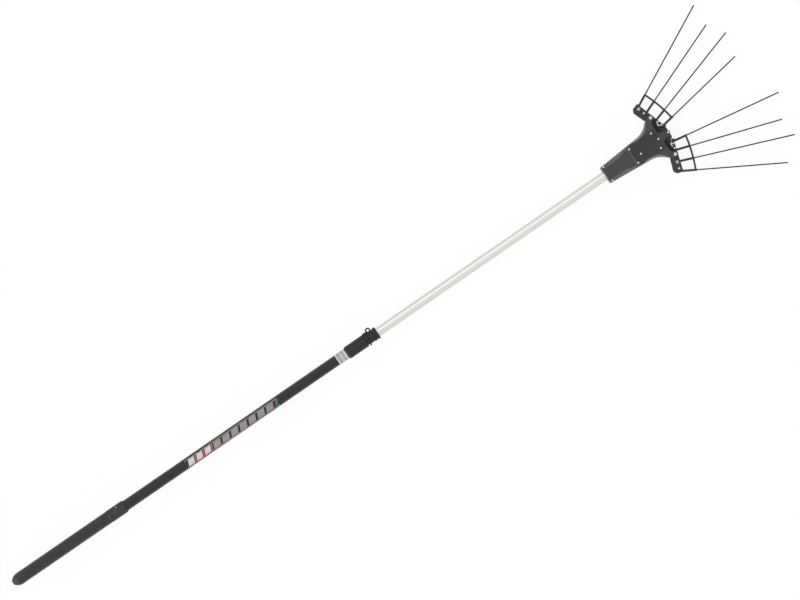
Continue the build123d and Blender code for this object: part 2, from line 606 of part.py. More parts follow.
def housing_pieces():
    """Upper and lower shells, front cover and their screws."""
    upper = upper_half(head_shell(ROOF_FRONT))
    upper += neck_ribs()
    upper += nose_bridge()
    upper -= screw_hole(NOSE_X, 0, BRIDGE_FOOT)
    lower = lower_half(head_shell(FLOOR_FRONT))
    lower += post(CRANK_X, 0, -INNER_HALF_HEIGHT, -INNER_HALF_HEIGHT + BEARING_WIDTH, BEARING_BOSS)
    lower -= post(CRANK_X, 0, -INNER_HALF_HEIGHT, 0, BEARING_RADIUS + FIT)
    root = FLOOR_FRONT - NOSE_ROOT
    tip = NOSE_X + NOSE_RADIUS
    sole = make_face(Polyline((root, NOSE_ROOT_HALF), (FLOOR_FRONT, NOSE_ROOT_HALF), (tip, NOSE_FRONT_HALF),
                              (tip, -NOSE_FRONT_HALF), (FLOOR_FRONT, -NOSE_ROOT_HALF), (root, -NOSE_ROOT_HALF),
                              close=True))
    sole = fillet([v for v in sole.vertices() if v.X > FLOOR_FRONT - PAST], NOSE_CORNER)
    lower += slab(sole, -HEAD_HALF_HEIGHT, -INNER_HALF_HEIGHT)
    lower += post(NOSE_X, 0, -HEAD_HALF_HEIGHT, NOSE_TOP, NOSE_RADIUS)
    for y in MOUTH_RIBS:
        lower += block(ROOF_FRONT - RIB_ROOT, FLOOR_FRONT, y - RIB_WIDTH / 2, y + RIB_WIDTH / 2,
                       -INNER_HALF_HEIGHT, RIB_TOP)
    lower -= screw_hole(NOSE_X, 0, BRIDGE_FOOT)
    plate = make_face(Polyline((COVER_START, COVER_REAR_HALF), (COVER_END, COVER_FRONT_HALF),
                               (COVER_END, -COVER_FRONT_HALF), (COVER_START, -COVER_REAR_HALF), close=True))
    plate = fillet(plate.vertices(), COVER_CORNER)
    cover = slab(plate, HEAD_HALF_HEIGHT, COVER_TOP)
    cover = chamfer(cover.faces().sort_by(Axis.Z)[-1].edges(), COVER_THICKNESS / 2)
    cover_screws = []
    for ahead, y in COVER_SCREWS:
        hole = screw_hole(COVER_START + ahead, y, COVER_SEAT)
        cover -= hole
        upper -= hole
        cover_screws.append(screw(COVER_START + ahead, y, COVER_SEAT))
    neck_screws = [screw(HEAD_START + NECK_SCREW[0], side * NECK_SCREW[1], NECK_SCREW_SEAT) for side in (1, -1)]
    nose_screw = screw(NOSE_X, 0, BRIDGE_FOOT)
    return {
        "housing_upper": upper,
        "housing_lower": lower,
        "front_cover": cover,
        "housing_screws": Compound(neck_screws + [nose_screw]),
        "cover_screws": Compound(cover_screws),
    }


def bevel_tooth(distance, cone, height, turn):
    """Four corners of a bevel tooth at one distance from the cone's apex, about the Z axis."""
    scale = distance / CONE_LENGTH
    corners = []
    pitch_half = pi * GEAR_MODULE / 4 - BACKLASH / 4
    root = -height[1] - TOOTH_ROOT
    for h, sign in ((root, -1), (height[0], -1), (height[0], 1), (root, 1)):
        half = (pitch_half - h * tan(radians(PRESSURE_ANGLE_DEG))) * scale
        radial = distance * sin(cone) + h * scale * cos(cone)
        axial = distance * cos(cone) - h * scale * sin(cone)
        point = Vector(radial, sign * half, axial)
        corners.append(point.rotate(Axis.Z, turn))
    return corners


def bevel_gear(teeth, cone, back, bore, phase):
    """Straight bevel gear about Z with the cone's apex at the origin."""
    near = CONE_LENGTH - FACE_WIDTH
    height = (TOOTH_ADDENDUM * GEAR_MODULE, TOOTH_DEDENDUM * GEAR_MODULE)

    def root(distance):
        drop = height[1] * distance / CONE_LENGTH
        return (distance * sin(cone) - drop * cos(cone), distance * cos(cone) + drop * sin(cone))

    inner_r, inner_z = root(near)
    outer_r, outer_z = root(CONE_LENGTH)
    outline = Polyline((bore, inner_z), (inner_r, inner_z), (outer_r, outer_z), (outer_r, outer_z + back),
                       (bore, outer_z + back), close=True)
    body = revolve(make_face(Plane.XZ * outline), axis=Axis.Z)
    tooth_solids = []
    for i in range(teeth):
        turn = 360 * (i + phase) / teeth
        ends = []
        for distance in (near, CONE_LENGTH):
            ends.append(make_face(Polyline(*bevel_tooth(distance, cone, height, turn), close=True)))
        tooth_solids.append(loft(ends, ruled=True))
    return body + tooth_solids


def drive_pieces():
    """Motor, gearhead, bevel pair, crank and its bearing."""
    apex = (CRANK_X, 0, 0)
    pinion = bevel_gear(PINION_TEETH, PINION_CONE, PINION_WEB, SHAFT_RADIUS, 0.0)
    pinion = Plane(origin=apex, x_dir=(0, 0, -1), z_dir=(-1, 0, 0)) * pinion
    crank_gear = bevel_gear(CRANK_TEETH, CRANK_CONE, GEAR_WEB, SHAFT_RADIUS, 0.5)
    crank_gear = Plane(origin=apex, x_dir=(-1, 0, 0), z_dir=(0, 0, -1)) * crank_gear
    gear_foot = crank_gear.bounding_box().min.Z
    bearing_top = -INNER_HALF_HEIGHT + BEARING_WIDTH
    hub = post(CRANK_X, 0, gear_foot, HUB_TOP, HUB_RADIUS)
    hub += post(CRANK_X, 0, bearing_top, gear_foot, HUB_FOOT_RADIUS)
    shaft_top = HUB_TOP - CRANK_PIN_DEPTH - RUNNING
    hub -= post(CRANK_X, 0, bearing_top - PAST, shaft_top, SHAFT_RADIUS)
    crank_gear += hub
    crank_gear -= post(CRANK_X, CRANK_RADIUS, HUB_TOP - CRANK_PIN_DEPTH, HUB_TOP + PAST, DRIVE_PIN_RADIUS)
    pin_front = CRANK_X - (CONE_LENGTH - FACE_WIDTH) * cos(PINION_CONE)
    gearhead = along_pole(MOTOR_END, GEARHEAD_END, GEARHEAD_RADIUS)
    gearhead -= along_pole(GEARHEAD_END - SHAFT_SEAT, GEARHEAD_END + PAST, SHAFT_RADIUS + FIT)
    return {
        "motor": along_pole(MOTOR_START, MOTOR_END, MOTOR_RADIUS),
        "motor_board": along_pole(MOTOR_START - BOARD_THICKNESS, MOTOR_START, BOARD_RADIUS),
        "gearhead": gearhead,
        "bevel_pinion": pinion,
        "pinion_shaft": along_pole(GEARHEAD_END - SHAFT_SEAT + RUNNING, pin_front, SHAFT_RADIUS),
        "crank_gear": crank_gear,
        "crank_shaft": post(CRANK_X, 0, -INNER_HALF_HEIGHT, shaft_top, SHAFT_RADIUS),
        "crank_pin": post(CRANK_X, CRANK_RADIUS, HUB_TOP - CRANK_PIN_DEPTH, YOKE_FLOOR - LOOP_GAP,
                          DRIVE_PIN_RADIUS),
        "crank_bearing": post(CRANK_X, 0, -INNER_HALF_HEIGHT, bearing_top, BEARING_RADIUS, SHAFT_RADIUS + FIT),
    }


def yoke_pieces():
    """Slotted yoke that turns the crank's circle into a straight stroke, its drive pins and its rails."""
    rear = CRANK_X - SLOT_HALF_WIDTH - YOKE_WALL
    yoke = block(rear, PIVOT_X, -YOKE_HALF, YOKE_HALF, YOKE_FLOOR, YOKE_TOP)
    reach = DRIVE_Y + DRIVE_PIN_RADIUS + YOKE_END_WALL
    yoke += block(PIVOT_X - YOKE_HEAD_HALF, PIVOT_X + YOKE_HEAD_HALF, -reach, reach, YOKE_FLOOR, YOKE_TOP)
    slot = Pos(CRANK_X, 0, (YOKE_FLOOR + YOKE_TOP) / 2)
    slot = slot * Box(2 * SLOT_HALF_WIDTH, 2 * SLOT_HALF_LENGTH, YOKE_THICKNESS + 2 * PAST)
    yoke -= slot
    window = block(CRANK_X + SLOT_HALF_WIDTH + YOKE_WALL, PIVOT_X - YOKE_HEAD_HALF - YOKE_WALL,
                   -YOKE_HALF + YOKE_WALL, YOKE_HALF - YOKE_WALL, YOKE_FLOOR - PAST, YOKE_TOP + PAST)
    yoke -= fillet(window.edges().filter_by(Axis.Z), YOKE_WINDOW_RADIUS)
    pins = []
    rails = []
    wall_inner = YOKE_HALF + RUNNING
    wall_outer = wall_inner + RAIL_WALL
    ledge_top = YOKE_FLOOR - RUNNING
    for side in (1, -1):
        yoke -= post(PIVOT_X, side * DRIVE_Y, YOKE_FLOOR - PAST, YOKE_TOP + PAST, DRIVE_PIN_RADIUS + FIT)
        pins.append(post(PIVOT_X, side * DRIVE_Y, -ROCKER_THICKNESS / 2, YOKE_TOP, DRIVE_PIN_RADIUS))
        section = [(wall_inner - RAIL_LEDGE, ledge_top - RAIL_WALL), (wall_outer, ledge_top - RAIL_WALL),
                   (wall_outer, INNER_HALF_HEIGHT), (wall_inner, INNER_HALF_HEIGHT), (wall_inner, ledge_top),
                   (wall_inner - RAIL_LEDGE, ledge_top)]
        face = make_face(Polyline(*[(side * y, z) for y, z in section], close=True))
        frame = Plane(origin=(RAIL_START, 0, 0), x_dir=(0, 1, 0), z_dir=(1, 0, 0))
        rails.append(extrude(frame * face, amount=RAIL_LENGTH, dir=(1, 0, 0)))
    return {"yoke": yoke, "yoke_pins": Compound(pins), "yoke_rails": Compound(rails)}


def comb_frame_plan(struts):
    """Plan of the comb's base: outer block, front bar and pivot boss, in (out, ahead) of the pivot."""
    inner = struts[-1]
    tip = (inner - BAR_TIP_BEYOND, BAR_TIP_AHEAD)
    outline = make_face(Polyline(
        (BLOCK_INNER, BLOCK_REAR), (BLOCK_OUTER - BLOCK_CORNER[0], BLOCK_REAR - BLOCK_TAPER),
        (BLOCK_OUTER, BLOCK_REAR + BLOCK_CORNER[1]), (BLOCK_OUTER, BAR_FRONT), (inner, BAR_FRONT),
        tip, (tip[0], tip[1] - BAR_TIP_WIDTH), (inner, BAR_REAR),
        (-PIVOT_BOSS_RADIUS, BAR_REAR), (-PIVOT_BOSS_RADIUS / 2, BAR_HEEL), (BLOCK_INNER / 2, BAR_HEEL),
        close=True))
    corners = [v for v in outline.vertices() if v.X > BLOCK_INNER - PAST and v.Y < 0]
    return fillet(corners, BLOCK_ROUND) + Circle(COMB_BOSS_RADIUS)


def rocker_plan(tilt):
    """Plan of the rocker: an inner arm with the drive slot, and a tail under the comb's screws."""
    tail_rear = ROCKER_TAIL_TAPER - ROCKER_TAIL_HALF
    tail_end = COMB_SCREW_PLACES[1][0] - tail_rear
    tail_front = BAR_FRONT - TINE_DEPTH - ROCKER_TINE_GAP
    tail = make_face(Polyline((0, -ROCKER_TAIL_HALF), (tail_end, tail_rear), (tail_end, tail_front),
                              (ROCKER_TAIL_HALF, tail_front), (0, ROCKER_TAIL_HALF), close=True))
    reach = ARM_REACH + DRIVE_PIN_RADIUS + ROCKER_END_WALL
    arm = make_face(Polyline((0, -ROCKER_ARM_HALF), (-reach, -ROCKER_ARM_HALF), (-reach, ROCKER_ARM_HALF),
                             (0, ROCKER_ARM_HALF), close=True))
    arm = Rot(0, 0, tilt) * arm
    return tail + arm + Circle(ROCKER_TAIL_HALF)


def outer_reach(root, angle, half_span):
    """Length of an outer tine ahead of the bar, from the half span that its tip has to meet."""
    tilt = radians(COMB_TILT_DEG)
    lean = radians(COMB_TILT_DEG + angle)
    root_y = PIVOT_Y + root * cos(tilt) + BAR_FRONT * sin(tilt)
    tip = (TINE_RADIUS - TINE_TIP_ROUND) * cos(lean) + TINE_TIP_ROUND
    return TINE_TIP_ROUND + (half_span - root_y - tip) / sin(lean)


def comb_pieces(side, name, struts, rail, fan, reaches, nut_place):
    """One comb: rocker, frame, tines, bush, washers, screws and pivot pin. Side is 1 for +Y."""
    # Plan axes of the comb: first axis outwards along the bar, second axis ahead between the tines
    tilt = radians(COMB_TILT_DEG)
    out = (-sin(tilt), side * cos(tilt), 0)
    plan = Plane(origin=(PIVOT_X, side * PIVOT_Y, 0), x_dir=out, z_dir=(0, 0, -side))
    half = COMB_THICKNESS / 2
    rocker_half = ROCKER_THICKNESS / 2
    rocker_face = rocker_plan(COMB_TILT_DEG)
    rocker = extrude(rocker_face, amount=rocker_half, both=True)
    slot_width = 2 * (DRIVE_PIN_RADIUS + RUNNING)
    slot = SlotOverall(slot_width + ROCKER_SLOT_EXTRA, slot_width)
    slot = Rot(0, 0, COMB_TILT_DEG) * Pos(-ARM_REACH - ROCKER_SLOT_SHIFT, 0) * slot
    rocker -= extrude(slot, amount=rocker_half + PAST, both=True)
    bush_bore = Cylinder(BUSH_RADIUS + FIT, COMB_THICKNESS + 2 * PAST)
    rocker -= bush_bore
    frame = extrude(comb_frame_plan(struts), amount=half, both=True)
    flat_faces = frame.faces().sort_by(Axis.Z)
    frame = chamfer(flat_faces[0].edges() + flat_faces[-1].edges(), COMB_EDGE)
    frame -= extrude(offset(rocker_face, amount=RUNNING), amount=rocker_half + FIT, both=True)
    frame -= bush_bore
    rail_arc = ThreePointArc(*rail)
    rail_face = make_face(offset(rail_arc, amount=RAIL_BAR_WIDTH / 2, side=Side.BOTH))
    frame += extrude(rail_face, amount=RAIL_BAR_HEIGHT / 2, both=True)
    bores = []
    tines = []
    for root_u, angle, reach in zip(struts, fan, reaches):
        lean = Plane(origin=(root_u, BAR_FRONT, 0), x_dir=(0, 0, 1),
                     z_dir=(sin(radians(angle)), cos(radians(angle)), 0))
        strut_length = (rail[1][1] - BAR_FRONT) / cos(radians(angle))
        strut = Cylinder(STRUT_RADIUS, strut_length + STRUT_ROOT)
        frame += lean * Pos(0, 0, (strut_length - STRUT_ROOT) / 2) * strut
        tine_length = TINE_DEPTH + reach
        tine_place = lean * Pos(0, 0, tine_length / 2 - TINE_DEPTH)
        rod = Cylinder(TINE_RADIUS, tine_length)
        tines.append(tine_place * fillet(rod.edges().sort_by(Axis.Z)[-1], TINE_TIP_ROUND))
        bores.append(tine_place * Cylinder(TINE_RADIUS + FIT, tine_length))
    frame -= bores
    screws = []
    # The comb's own axis points down on the left side, so its upper face is at this sign
    up = -side
    between = (struts[-2] + struts[-1]) / 2
    bar_places = [(between + spread, BAR_SCREW_AHEAD) for spread in (BAR_SCREW_SPREAD, -BAR_SCREW_SPREAD)]
    for u, v in (*COMB_SCREW_PLACES, *bar_places):
        middle = Pos(u, v, up * (half - SCREW_LENGTH / 2))
        hole = middle * Cylinder(SCREW_SHANK_RADIUS + FIT, SCREW_LENGTH + 2 * SCREW_SPARE)
        frame -= hole
        rocker -= hole
        shank = middle * Cylinder(SCREW_SHANK_RADIUS, SCREW_LENGTH)
        if (u, v) == nut_place:
            top, height = Box(SQUARE_NUT, SQUARE_NUT, SQUARE_NUT_HEIGHT), SQUARE_NUT_HEIGHT
        else:
            top, height = Cylinder(SCREW_HEAD_RADIUS, SCREW_HEAD_HEIGHT), SCREW_HEAD_HEIGHT
        screws.append(shank + Pos(u, v, up * (half + height / 2)) * top)
    bush = Cylinder(BUSH_RADIUS, COMB_THICKNESS) - Cylinder(PIVOT_PIN_RADIUS + FIT, COMB_THICKNESS + 2 * PAST)
    washer_gap = COMB_SLOT_GAP - RUNNING
    washer = Cylinder(WASHER_RADIUS, washer_gap) - Cylinder(PIVOT_PIN_RADIUS + FIT, 2 * COMB_SLOT_GAP)
    washers = [Pos(0, 0, s * (half + washer_gap / 2)) * washer for s in (1, -1)]
    x, y = PIVOT_X, side * PIVOT_Y
    pin = post(x, y, -ARM_HALF_HEIGHT, ARM_HALF_HEIGHT, PIVOT_PIN_RADIUS)
    pin += post(x, y, ARM_HALF_HEIGHT, ARM_HALF_HEIGHT + PIVOT_HEAD_HEIGHT, PIVOT_HEAD_RADIUS)
    pieces = {
        "rocker_" + name: rocker,
        "comb_frame_" + name: frame,
        "pivot_bush_" + name: bush,
        "pivot_washers_" + name: Compound(washers),
        "comb_screws_" + name: Compound(screws),
    }
    for i, tine in enumerate(tines):
        pieces[f"tine_{name}_{i + 1}"] = tine
    pieces = {node: plan * piece for node, piece in pieces.items()}
    pieces["pivot_pin_" + name] = pin
    return pieces


def build():
    """All pieces by name, still on the pole axis."""
    pieces = {}
    pieces.update(grip_pieces())
    pieces.update(switch_pieces())
    pieces.update(tube_pieces())
    pieces.update(clamp_pieces())
    pieces.update(housing_pieces())
    pieces.update(drive_pieces())
    pieces.update(yoke_pieces())
    left_outer = outer_reach(LEFT_STRUTS[0], LEFT_FAN_DEG[0], LEFT_HALF_SPAN)
    right_outer = outer_reach(RIGHT_STRUTS[0], RIGHT_FAN_DEG[0], RIGHT_HALF_SPAN)
    pieces.update(comb_pieces(1, "left", LEFT_STRUTS, LEFT_RAIL, LEFT_FAN_DEG, (left_outer, *LEFT_REACH),
                              COMB_SCREW_PLACES[1]))
    pieces.update(comb_pieces(-1, "right", RIGHT_STRUTS, RIGHT_RAIL, RIGHT_FAN_DEG, (right_outer, *RIGHT_REACH),
                              COMB_SCREW_PLACES[0]))
    return pieces


os.makedirs("parts", exist_ok=True)
parts = build()
front = max(piece.bounding_box().max.X for piece in parts.values())
to_origin = Pos(-front / 2, 0, AXIS_HEIGHT)
for node, piece in parts.items():
    export_step(to_origin * piece, f"parts/{node}.step")
print("overall length", round(front, 2), "nodes", len(parts))
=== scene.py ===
import json
import math

import bmesh
import bpy
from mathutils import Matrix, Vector


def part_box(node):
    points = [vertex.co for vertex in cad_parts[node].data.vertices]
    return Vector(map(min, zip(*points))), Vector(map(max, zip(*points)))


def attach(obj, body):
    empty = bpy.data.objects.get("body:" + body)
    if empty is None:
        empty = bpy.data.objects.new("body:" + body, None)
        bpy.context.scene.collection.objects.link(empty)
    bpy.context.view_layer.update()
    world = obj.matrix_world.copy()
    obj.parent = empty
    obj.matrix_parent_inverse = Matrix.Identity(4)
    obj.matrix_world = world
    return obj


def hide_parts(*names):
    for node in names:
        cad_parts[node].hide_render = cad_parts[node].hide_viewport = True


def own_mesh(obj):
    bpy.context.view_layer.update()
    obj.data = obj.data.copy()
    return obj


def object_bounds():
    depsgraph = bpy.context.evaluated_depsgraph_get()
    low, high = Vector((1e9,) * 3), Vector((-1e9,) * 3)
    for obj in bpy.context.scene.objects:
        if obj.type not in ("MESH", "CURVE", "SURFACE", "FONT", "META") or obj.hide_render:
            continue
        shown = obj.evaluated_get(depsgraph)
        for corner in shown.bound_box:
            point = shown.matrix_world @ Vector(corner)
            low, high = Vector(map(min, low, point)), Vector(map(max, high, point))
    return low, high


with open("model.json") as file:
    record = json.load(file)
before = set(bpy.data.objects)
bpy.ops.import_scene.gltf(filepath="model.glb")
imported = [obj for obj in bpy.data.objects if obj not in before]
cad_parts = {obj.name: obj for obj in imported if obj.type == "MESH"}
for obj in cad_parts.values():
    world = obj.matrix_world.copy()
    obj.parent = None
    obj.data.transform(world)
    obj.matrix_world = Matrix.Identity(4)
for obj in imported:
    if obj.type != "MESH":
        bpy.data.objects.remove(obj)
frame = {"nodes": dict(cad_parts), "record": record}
cad_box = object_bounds()

# Electric olive harvester lying flat: the CAD pieces are dressed in place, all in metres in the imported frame
MM = 0.001
record = frame["record"]
BODY_OF = {node: body for body, names in record["behaviour"]["bodies"].items() for node in names}
SLOT_OF = {entry["node"]: entry["material_slot"] for entry in record["subparts"]}


def size_of(node):
    """Size of a CAD piece along the three axes."""
    low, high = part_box(node)
    return [b - a for a, b in zip(low, high)]


TUBE_LOW, TUBE_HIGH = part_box("lower_tube")
AXIS_Z = (TUBE_LOW[2] + TUBE_HIGH[2]) / 2
LOWER_RADIUS = size_of("lower_tube")[1] / 2
UPPER_RADIUS = size_of("upper_tube")[1] / 2
GRIP_RADIUS = size_of("grip")[1] / 2
TUBE_WALL = 1.5 * MM
ROUND_STEPS = 96
COMB_TILT = math.radians(17.4)


# Materials

def linear(code):
    """Linear colour of an sRGB hex value."""
    channels = [int(code[i:i + 2], 16) / 255 for i in (1, 3, 5)]
    return [c / 12.92 if c <= 0.04045 else ((c + 0.055) / 1.055) ** 2.4 for c in channels] + [1.0]


def add(tree, kind, links=None, **settings):
    """Adds a node with its settings; links gives each input a value or another node's output."""
    node = tree.nodes.new(kind)
    for key, value in settings.items():
        setattr(node, key, value)
    for socket, source in (links or {}).items():
        if isinstance(source, bpy.types.NodeSocket):
            tree.links.new(source, node.inputs[socket])
        else:
            node.inputs[socket].default_value = source
    return node


def per_mm(size):
    """Texture scale at which one feature has this size in millimetres."""
    return 1 / (size * MM)


# Noise values between which the colour goes from dark to light, and the gloss from its low to its high end
COLOUR_SPAN = (0.36, 0.64)
GLOSS_SPAN = (0.3, 0.7)
# Share of the grain in the colour beside the clouds, which paints shade into the pits of the relief, and the strength
# of its relief
GRAIN_AND_PIT_SHADE_SHARE = 0.45
RELIEF_STRENGTH = 0.6


def finish(name, dark, light, roughness, cloud, grain, relief, stretch=(1, 1, 1), metallic=0.0, ior=1.5, sheen=0.0):
    """Material with cloudy colour, uneven gloss, a fine relief and painted shade in the relief's pits. Cloud, grain
    and relief are in millimetres.
    """
    material = bpy.data.materials.new(name)
    material.use_nodes = True
    tree = material.node_tree
    shader = tree.nodes["Principled BSDF"]
    place = add(tree, "ShaderNodeTexCoord").outputs["Object"]
    laid = add(tree, "ShaderNodeMapping", {"Vector": place, "Scale": stretch}).outputs["Vector"]
    clouds = add(tree, "ShaderNodeTexNoise", {"Vector": laid, "Scale": per_mm(cloud), "Detail": 5.0,
                                              "Roughness": 0.6})
    fine = add(tree, "ShaderNodeTexNoise", {"Vector": laid, "Scale": per_mm(grain), "Detail": 3.0,
                                            "Roughness": 0.5})
    # Painted shade: the grain colours the pits of the relief darker than its peaks
    share = add(tree, "ShaderNodeMix", {"Factor": GRAIN_AND_PIT_SHADE_SHARE, "A": clouds.outputs[0], "B": fine.outputs[0]})
    ramp = add(tree, "ShaderNodeValToRGB", {"Fac": share.outputs["Result"]})
    for element, position, colour in zip(ramp.color_ramp.elements, COLOUR_SPAN, (dark, light)):
        element.position = position
        element.color = linear(colour)
    gloss = add(tree, "ShaderNodeMapRange", {"Value": clouds.outputs[0], "From Min": GLOSS_SPAN[0],
                                             "From Max": GLOSS_SPAN[1], "To Min": roughness[0],
                                             "To Max": roughness[1]})
    bump = add(tree, "ShaderNodeBump", {"Height": fine.outputs[0], "Distance": relief * MM,
                                        "Strength": RELIEF_STRENGTH})
    tree.links.new(ramp.outputs["Color"], shader.inputs["Base Color"])
    tree.links.new(gloss.outputs["Result"], shader.inputs["Roughness"])
    tree.links.new(bump.outputs["Normal"], shader.inputs["Normal"])
    shader.inputs["Metallic"].default_value = metallic
    shader.inputs["IOR"].default_value = ior
    shader.inputs["Sheen Weight"].default_value = sheen
    return material


# Lengthwise drawing marks on tubes and rods: the pattern is long along the pole and short across it
DRAWN = (0.03, 1, 1)
# The real grain of moulded, plated and printed skins is 0.05 to 0.3 mm, too fine to show from the camera's distance,
# so each grain is drawn several times as coarse
FINISHES = {
    # Moulded thermoplastic rubber: matte, a pebbled skin, dusty paler clouds and a pale bloom along its sides
    "grip_rubber": finish("moulded_grip_rubber", "#0f0f10", "#252526", (0.42, 0.68), 16, 2.4, 0.16,
                          ior=1.42, sheen=0.2),
    # Painted aluminium tube: satin black lacquer with a warm cast and a paler, dusty look along its sides
    "black_tube": finish("black_lacquered_aluminium", "#110d0b", "#1a1512", (0.42, 0.52), 120, 3.0, 0.03, DRAWN,
                         ior=1.4, sheen=0.2),
    # Anodised drawn aluminium: pale, silky, with faint marks along the tube
    "silver_tube": finish("anodised_drawn_aluminium", "#d2d4ce", "#dbddd7", (0.3, 0.38), 40, 1.2, 0.02, DRAWN, 1.0),
    # Spark-eroded ABS: black, low gloss, a fine sand texture
    "black_plastic": finish("textured_black_abs", "#141415", "#1f1f20", (0.4, 0.55), 35, 0.9, 0.05),
    # Moulded nylon of the pole clamp: the darkest black, low gloss
    "clamp_plastic": finish("moulded_black_nylon", "#151516", "#1e1e20", (0.42, 0.56), 25, 1.2, 0.05, ior=1.4),
    # Moulded nylon of the clamp sleeve: a warmer black with rubbed, paler clouds
    "sleeve_plastic": finish("rubbed_black_nylon", "#120e0c", "#221d1a", (0.36, 0.54), 14, 1.2, 0.05, ior=1.4),
    # Mould-polished ABS of the head: black with a soft shine that shows at its leaning walls
    "head_plastic": finish("polished_black_abs", "#161617", "#202021", (0.24, 0.36), 35, 1.2, 0.04, ior=1.65),
    # Glass-filled nylon: brownish black, flow clouds, a slightly waxy gloss
    "comb_plastic": finish("glass_filled_nylon", "#191513", "#27221f", (0.38, 0.52), 22, 1.4, 0.05),
    # Printed polyester film: pale grey, smooth
    "pale_band": finish("pale_polyester_film", "#a8a9a7", "#b6b7b5", (0.32, 0.4), 30, 4.0, 0.01),
    # Polished button cap: mid-grey moulded acetal
    "button_plastic": finish("grey_acetal", "#636465", "#747576", (0.3, 0.4), 6, 0.8, 0.01),
    # Bright zinc plating: cool white metal with faint blotches
    "zinc_steel": finish("bright_zinc_plate", "#bcbdbc", "#d4d5d4", (0.2, 0.32), 4, 0.7, 0.01, metallic=1.0),
    # Ground steel: darker, turned marks
    "steel": finish("ground_steel", "#9a9a99", "#b4b4b3", (0.25, 0.4), 10, 0.5, 0.01, metallic=1.0),
    # Black-oxide steel: near black, a thin oily gloss
    "black_steel": finish("black_oxide_steel", "#0c0c0d", "#151517", (0.35, 0.5), 12, 0.6, 0.02, ior=1.4),
    # Sintered bronze: brown-gold, dull
    "bronze": finish("sintered_bronze", "#8a6238", "#a67a48", (0.4, 0.55), 6, 0.6, 0.02, metallic=1.0),
    # Dip-coated spring steel: dark grey, silky along the rod
    "tine_rod": finish("dip_coated_spring_steel", "#1c1b1a", "#2f2d2b", (0.32, 0.45), 30, 0.8, 0.02, DRAWN),
    # Natural nylon: milky, waxy
    "nylon": finish("natural_nylon", "#cfcabb", "#ded9cb", (0.4, 0.5), 20, 1.2, 0.02),
    # Rubber cable sheath: dull black
    "cable_rubber": finish("rubber_cable_sheath", "#141414", "#1d1d1d", (0.6, 0.7), 20, 0.8, 0.03),
    # Glass-epoxy board: green solder mask
    "board": finish("green_solder_mask", "#12402c", "#1a5238", (0.3, 0.4), 12, 0.6, 0.01),
}
# Rubbed edges of the moulded pieces: hands and branches leave paler, smoother plastic in patches along them, and
# their paler colour also paints a highlight along each rounded edge
RUBBED_AND_HIGHLIT = {
    "head_plastic": finish("rubbed_and_highlit_edge_of_polished_abs", "#1a1a1b", "#555556", (0.2, 0.34), 14, 1.2, 0.02,
                           ior=1.65),
    "black_plastic": finish("rubbed_and_highlit_edge_of_textured_abs", "#171718", "#4c4c4d", (0.26, 0.42), 14, 0.9, 0.02),
    "clamp_plastic": finish("rubbed_and_highlit_edge_of_moulded_nylon", "#121213", "#414142", (0.3, 0.46), 14, 1.2, 0.02,
                            ior=1.4),
    "sleeve_plastic": finish("rubbed_and_highlit_edge_of_sleeve_nylon", "#14100e", "#48403b", (0.3, 0.46), 14, 1.2, 0.02,
                             ior=1.4),
    "comb_plastic": finish("rubbed_and_highlit_edge_of_glass_nylon", "#1b1715", "#4d453f", (0.28, 0.44), 10, 1.4, 0.02),
}
# Pieces whose finish differs from the rest of their slot
OWN_FINISH = {"housing_upper": "head_plastic", "housing_lower": "head_plastic",
              "clamp_sleeve": "sleeve_plastic", "eye_ring": "clamp_plastic", "lock_nut": "clamp_plastic",
              "yoke_pins": "black_steel", "yoke_rails": "black_steel"}


def finish_of(node, kinds=FINISHES):
    """Finish of a CAD piece, or of its rubbed edges with their painted highlight where the kinds are those."""
    return kinds.get(OWN_FINISH.get(node, SLOT_OF[node]))


# Screen-printed inks: flat and satin, with the squeegee's faint clouds
INKS = {
    "white": finish("white_screen_ink", "#c6bfbc", "#d3ccc9", (0.4, 0.5), 18, 1.0, 0.01),
    "grey": finish("grey_screen_ink", "#837e7b", "#97928f", (0.4, 0.5), 18, 1.0, 0.01),
    "red": finish("red_screen_ink", "#a8453f", "#b9564f", (0.4, 0.5), 18, 1.0, 0.01),
    "green": finish("green_screen_ink", "#2a5c43", "#356e50", (0.4, 0.5), 18, 1.0, 0.01),
}
# Dull zinc on the square nuts: greyer than the screws, like a barrel-plated pressing
DULL_ZINC = finish("barrel_plated_zinc", "#a3a19d", "#b6b4b0", (0.4, 0.55), 3, 0.6, 0.02, metallic=1.0)


# Making pieces

def piece(name, bm, material, sharp=35):
    """Mesh object from a bmesh, smooth except at sharp edges."""
    mesh = bpy.data.meshes.new(name)
    bm.to_mesh(mesh)
    bm.free()
    obj = bpy.data.objects.new(name, mesh)
    bpy.context.scene.collection.objects.link(obj)
    mesh.materials.append(material)
    soften(obj, sharp)
    return obj


def soften(obj, sharp):
    """Smooth shading, with edges over the given angle left sharp."""
    obj.data.polygons.foreach_set("use_smooth", [True] * len(obj.data.polygons))
    obj.data.set_sharp_from_angle(angle=math.radians(sharp))


def settle(obj):
    """Turns what the modifiers make into the object's plain mesh."""
    shown = obj.evaluated_get(bpy.context.evaluated_depsgraph_get())
    mesh = bpy.data.meshes.new_from_object(shown)
    obj.modifiers.clear()
    old = obj.data
    obj.data = mesh
    bpy.data.meshes.remove(old)


def stands_for(obj, *names):
    """The piece takes the place of these CAD pieces: it rides their body and they are hidden."""
    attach(obj, BODY_OF[names[0]])
    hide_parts(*names)
    return obj


def merged(node):
    """Copy of a CAD piece's mesh with its loose triangles joined."""
    bm = bmesh.new()
    bm.from_mesh(frame["nodes"][node].data)
    bmesh.ops.remove_doubles(bm, verts=bm.verts, dist=0.001 * MM)
    return bm


# The cover's rear ramp: its run, the rounded corners over which it fades out, and the room that it leaves to screws
COVER_RAMP = 1.0 * MM
COVER_CORNER = 5.0 * MM
SCREW_CLEAR = 4.0 * MM
RIB_GAP = 0.4 * MM
